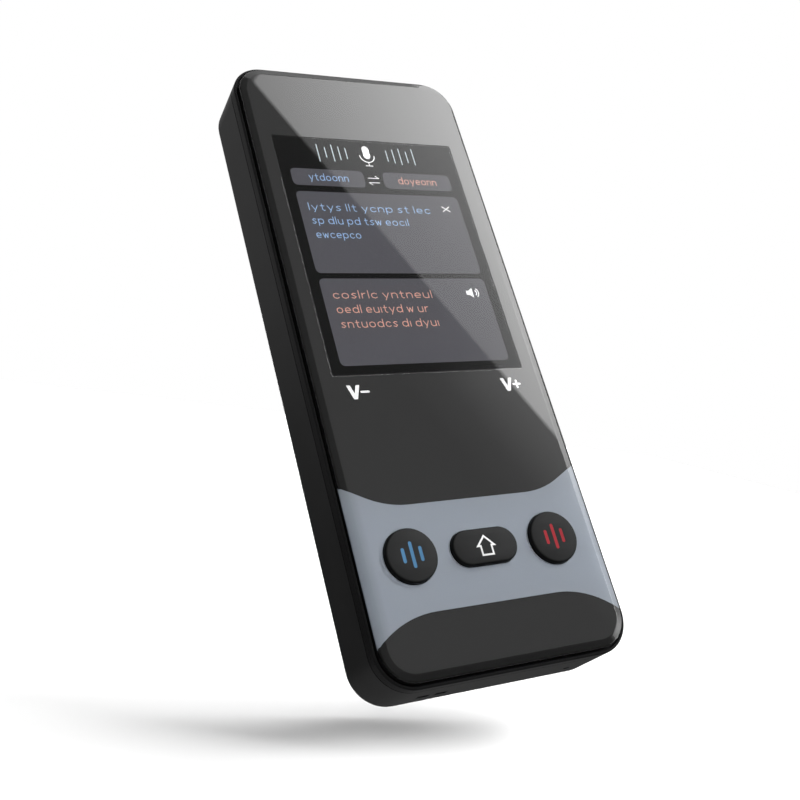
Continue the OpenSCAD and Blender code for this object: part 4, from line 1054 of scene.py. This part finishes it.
# the edge, as a place in the card's depth: nothing before it, the full light from edge_on
edge_off, edge_on = 0.0795, 0.0805
card_light = grey_tone(card_tree, card_depth, (edge_off, 0), (edge_on, 0.44), (0.23, 0.78), (0.4, 0.6),
                       (1, 0.5))
card_halo = grey_tone(card_tree, card_depth, (0, 0), (0.03, 0.01), (edge_off, 0.06), (edge_on, 0))
card_dim = grey_tone(card_tree, card_depth, (edge_off, 0), (edge_on, 0.088), (1, 0.18))
card_fall = grey_tone(card_tree, card_along, (0, 0.6), (0.3, 0.82), (0.583, 0.96), (0.667, 0.8),
                      (0.717, 0.64), (0.783, 0.33), (0.9, 0.28), (0.96, 0.42))
deep_fall = grey_tone(card_tree, card_along, (0.6, 0.9), (0.85, 0.65), (1, 0.25))
halo_rise = grey_tone(card_tree, card_along, (0.3, 0), (0.5, 1))
card_main = blend(card_tree, "MULTIPLY", 1.0, card_light,
                  blend(card_tree, "MIX", card_deep, card_fall, deep_fall))
card_shown = blend(card_tree, "ADD", 1.0, blend(card_tree, "MIX", card_inside, card_dim, card_main),
                   blend(card_tree, "MULTIPLY", 1.0, card_halo, halo_rise))
card_glow = add_node(card_tree, "Emission", {"Color": card_shown, "Strength": 6.2})
card_clear = add_node(card_tree, "BsdfTransparent", {
    "Color": grey_tone(card_tree, card_depth, (edge_off, 1), (edge_on, 0))})
card_both = add_node(card_tree, "AddShader", {0: card_glow, 1: card_clear})
put(card_tree, card_both, card_tree.nodes["Material Output"].inputs["Surface"])
shine_card.data.materials.append(card_paint)

# Gloss sees a studio that is dim low down and at the left, and even above. Everything else sees
# plain white.
world = bpy.data.worlds.new("studio")
bpy.context.scene.world = world
world.use_nodes = True
world_tree = world.node_tree
world_tree.nodes.clear()
seen = add_node(world_tree, "LightPath", {}).outputs
direction = add_node(world_tree, "TexCoord", {}).outputs["Generated"]


def along(axis, low, high):
    """How far a direction lies along an axis, as a share from low to high"""
    return share(world_tree, dot(world_tree, direction, Vector(axis).normalized()), low, high)


low_shine = grey_tone(world_tree, along((0, 0.847, 0.531), -1, 1), (0.1, 0.17), (0.22, 0.15), (0.29, 0.04),
                      (0.34, 0.01), (0.43, 0.06), (0.52, 0.28), (0.57, 0.2), (0.65, 0.4), (0.8, 0.7))
side_shine = grey_tone(world_tree, along((1, 0.12, 0), -1, 1), (0.1, 0.03), (0.4, 0.08), (0.58, 0.135),
                       (0.61, 0.14), (0.66, 0.28), (0.74, 0.3))
front_shine = grey_tone(world_tree, along((0, 1, 0), -1, 1), (0.2, 0.03), (0.45, 0.11), (0.49, 0.13),
                        (0.545, 0.3))
studio_shine = blend(world_tree, "MIX", along((0, 0, 1), -0.2, 0.1), low_shine,
                     blend(world_tree, "DARKEN", 1.0, side_shine, front_shine))
gloss_light = add_node(world_tree, "Background", {"Color": studio_shine})
soft_light = add_node(world_tree, "Background", {"Color": (1, 1, 1, 1), "Strength": 0.5})
white_light = add_node(world_tree, "Background", {"Color": (1, 1, 1, 1), "Strength": 1.0})
# a ray that has passed the glass counts as gloss too, but lights what lies under it
only_gloss = add_node(world_tree, "Math", {
    0: seen["Is Glossy Ray"], 1: seen["Is Transmission Ray"]}, operation="SUBTRACT", use_clamp=True)
unseen = add_node(world_tree, "MixShader", {
    0: only_gloss, 1: soft_light, 2: gloss_light})
all_seen = add_node(world_tree, "MixShader", {
    0: seen["Is Camera Ray"], 1: unseen, 2: white_light})
add_node(world_tree, "OutputWorld", {"Surface": all_seen})
bpy.context.scene.view_settings.view_transform = "Standard"
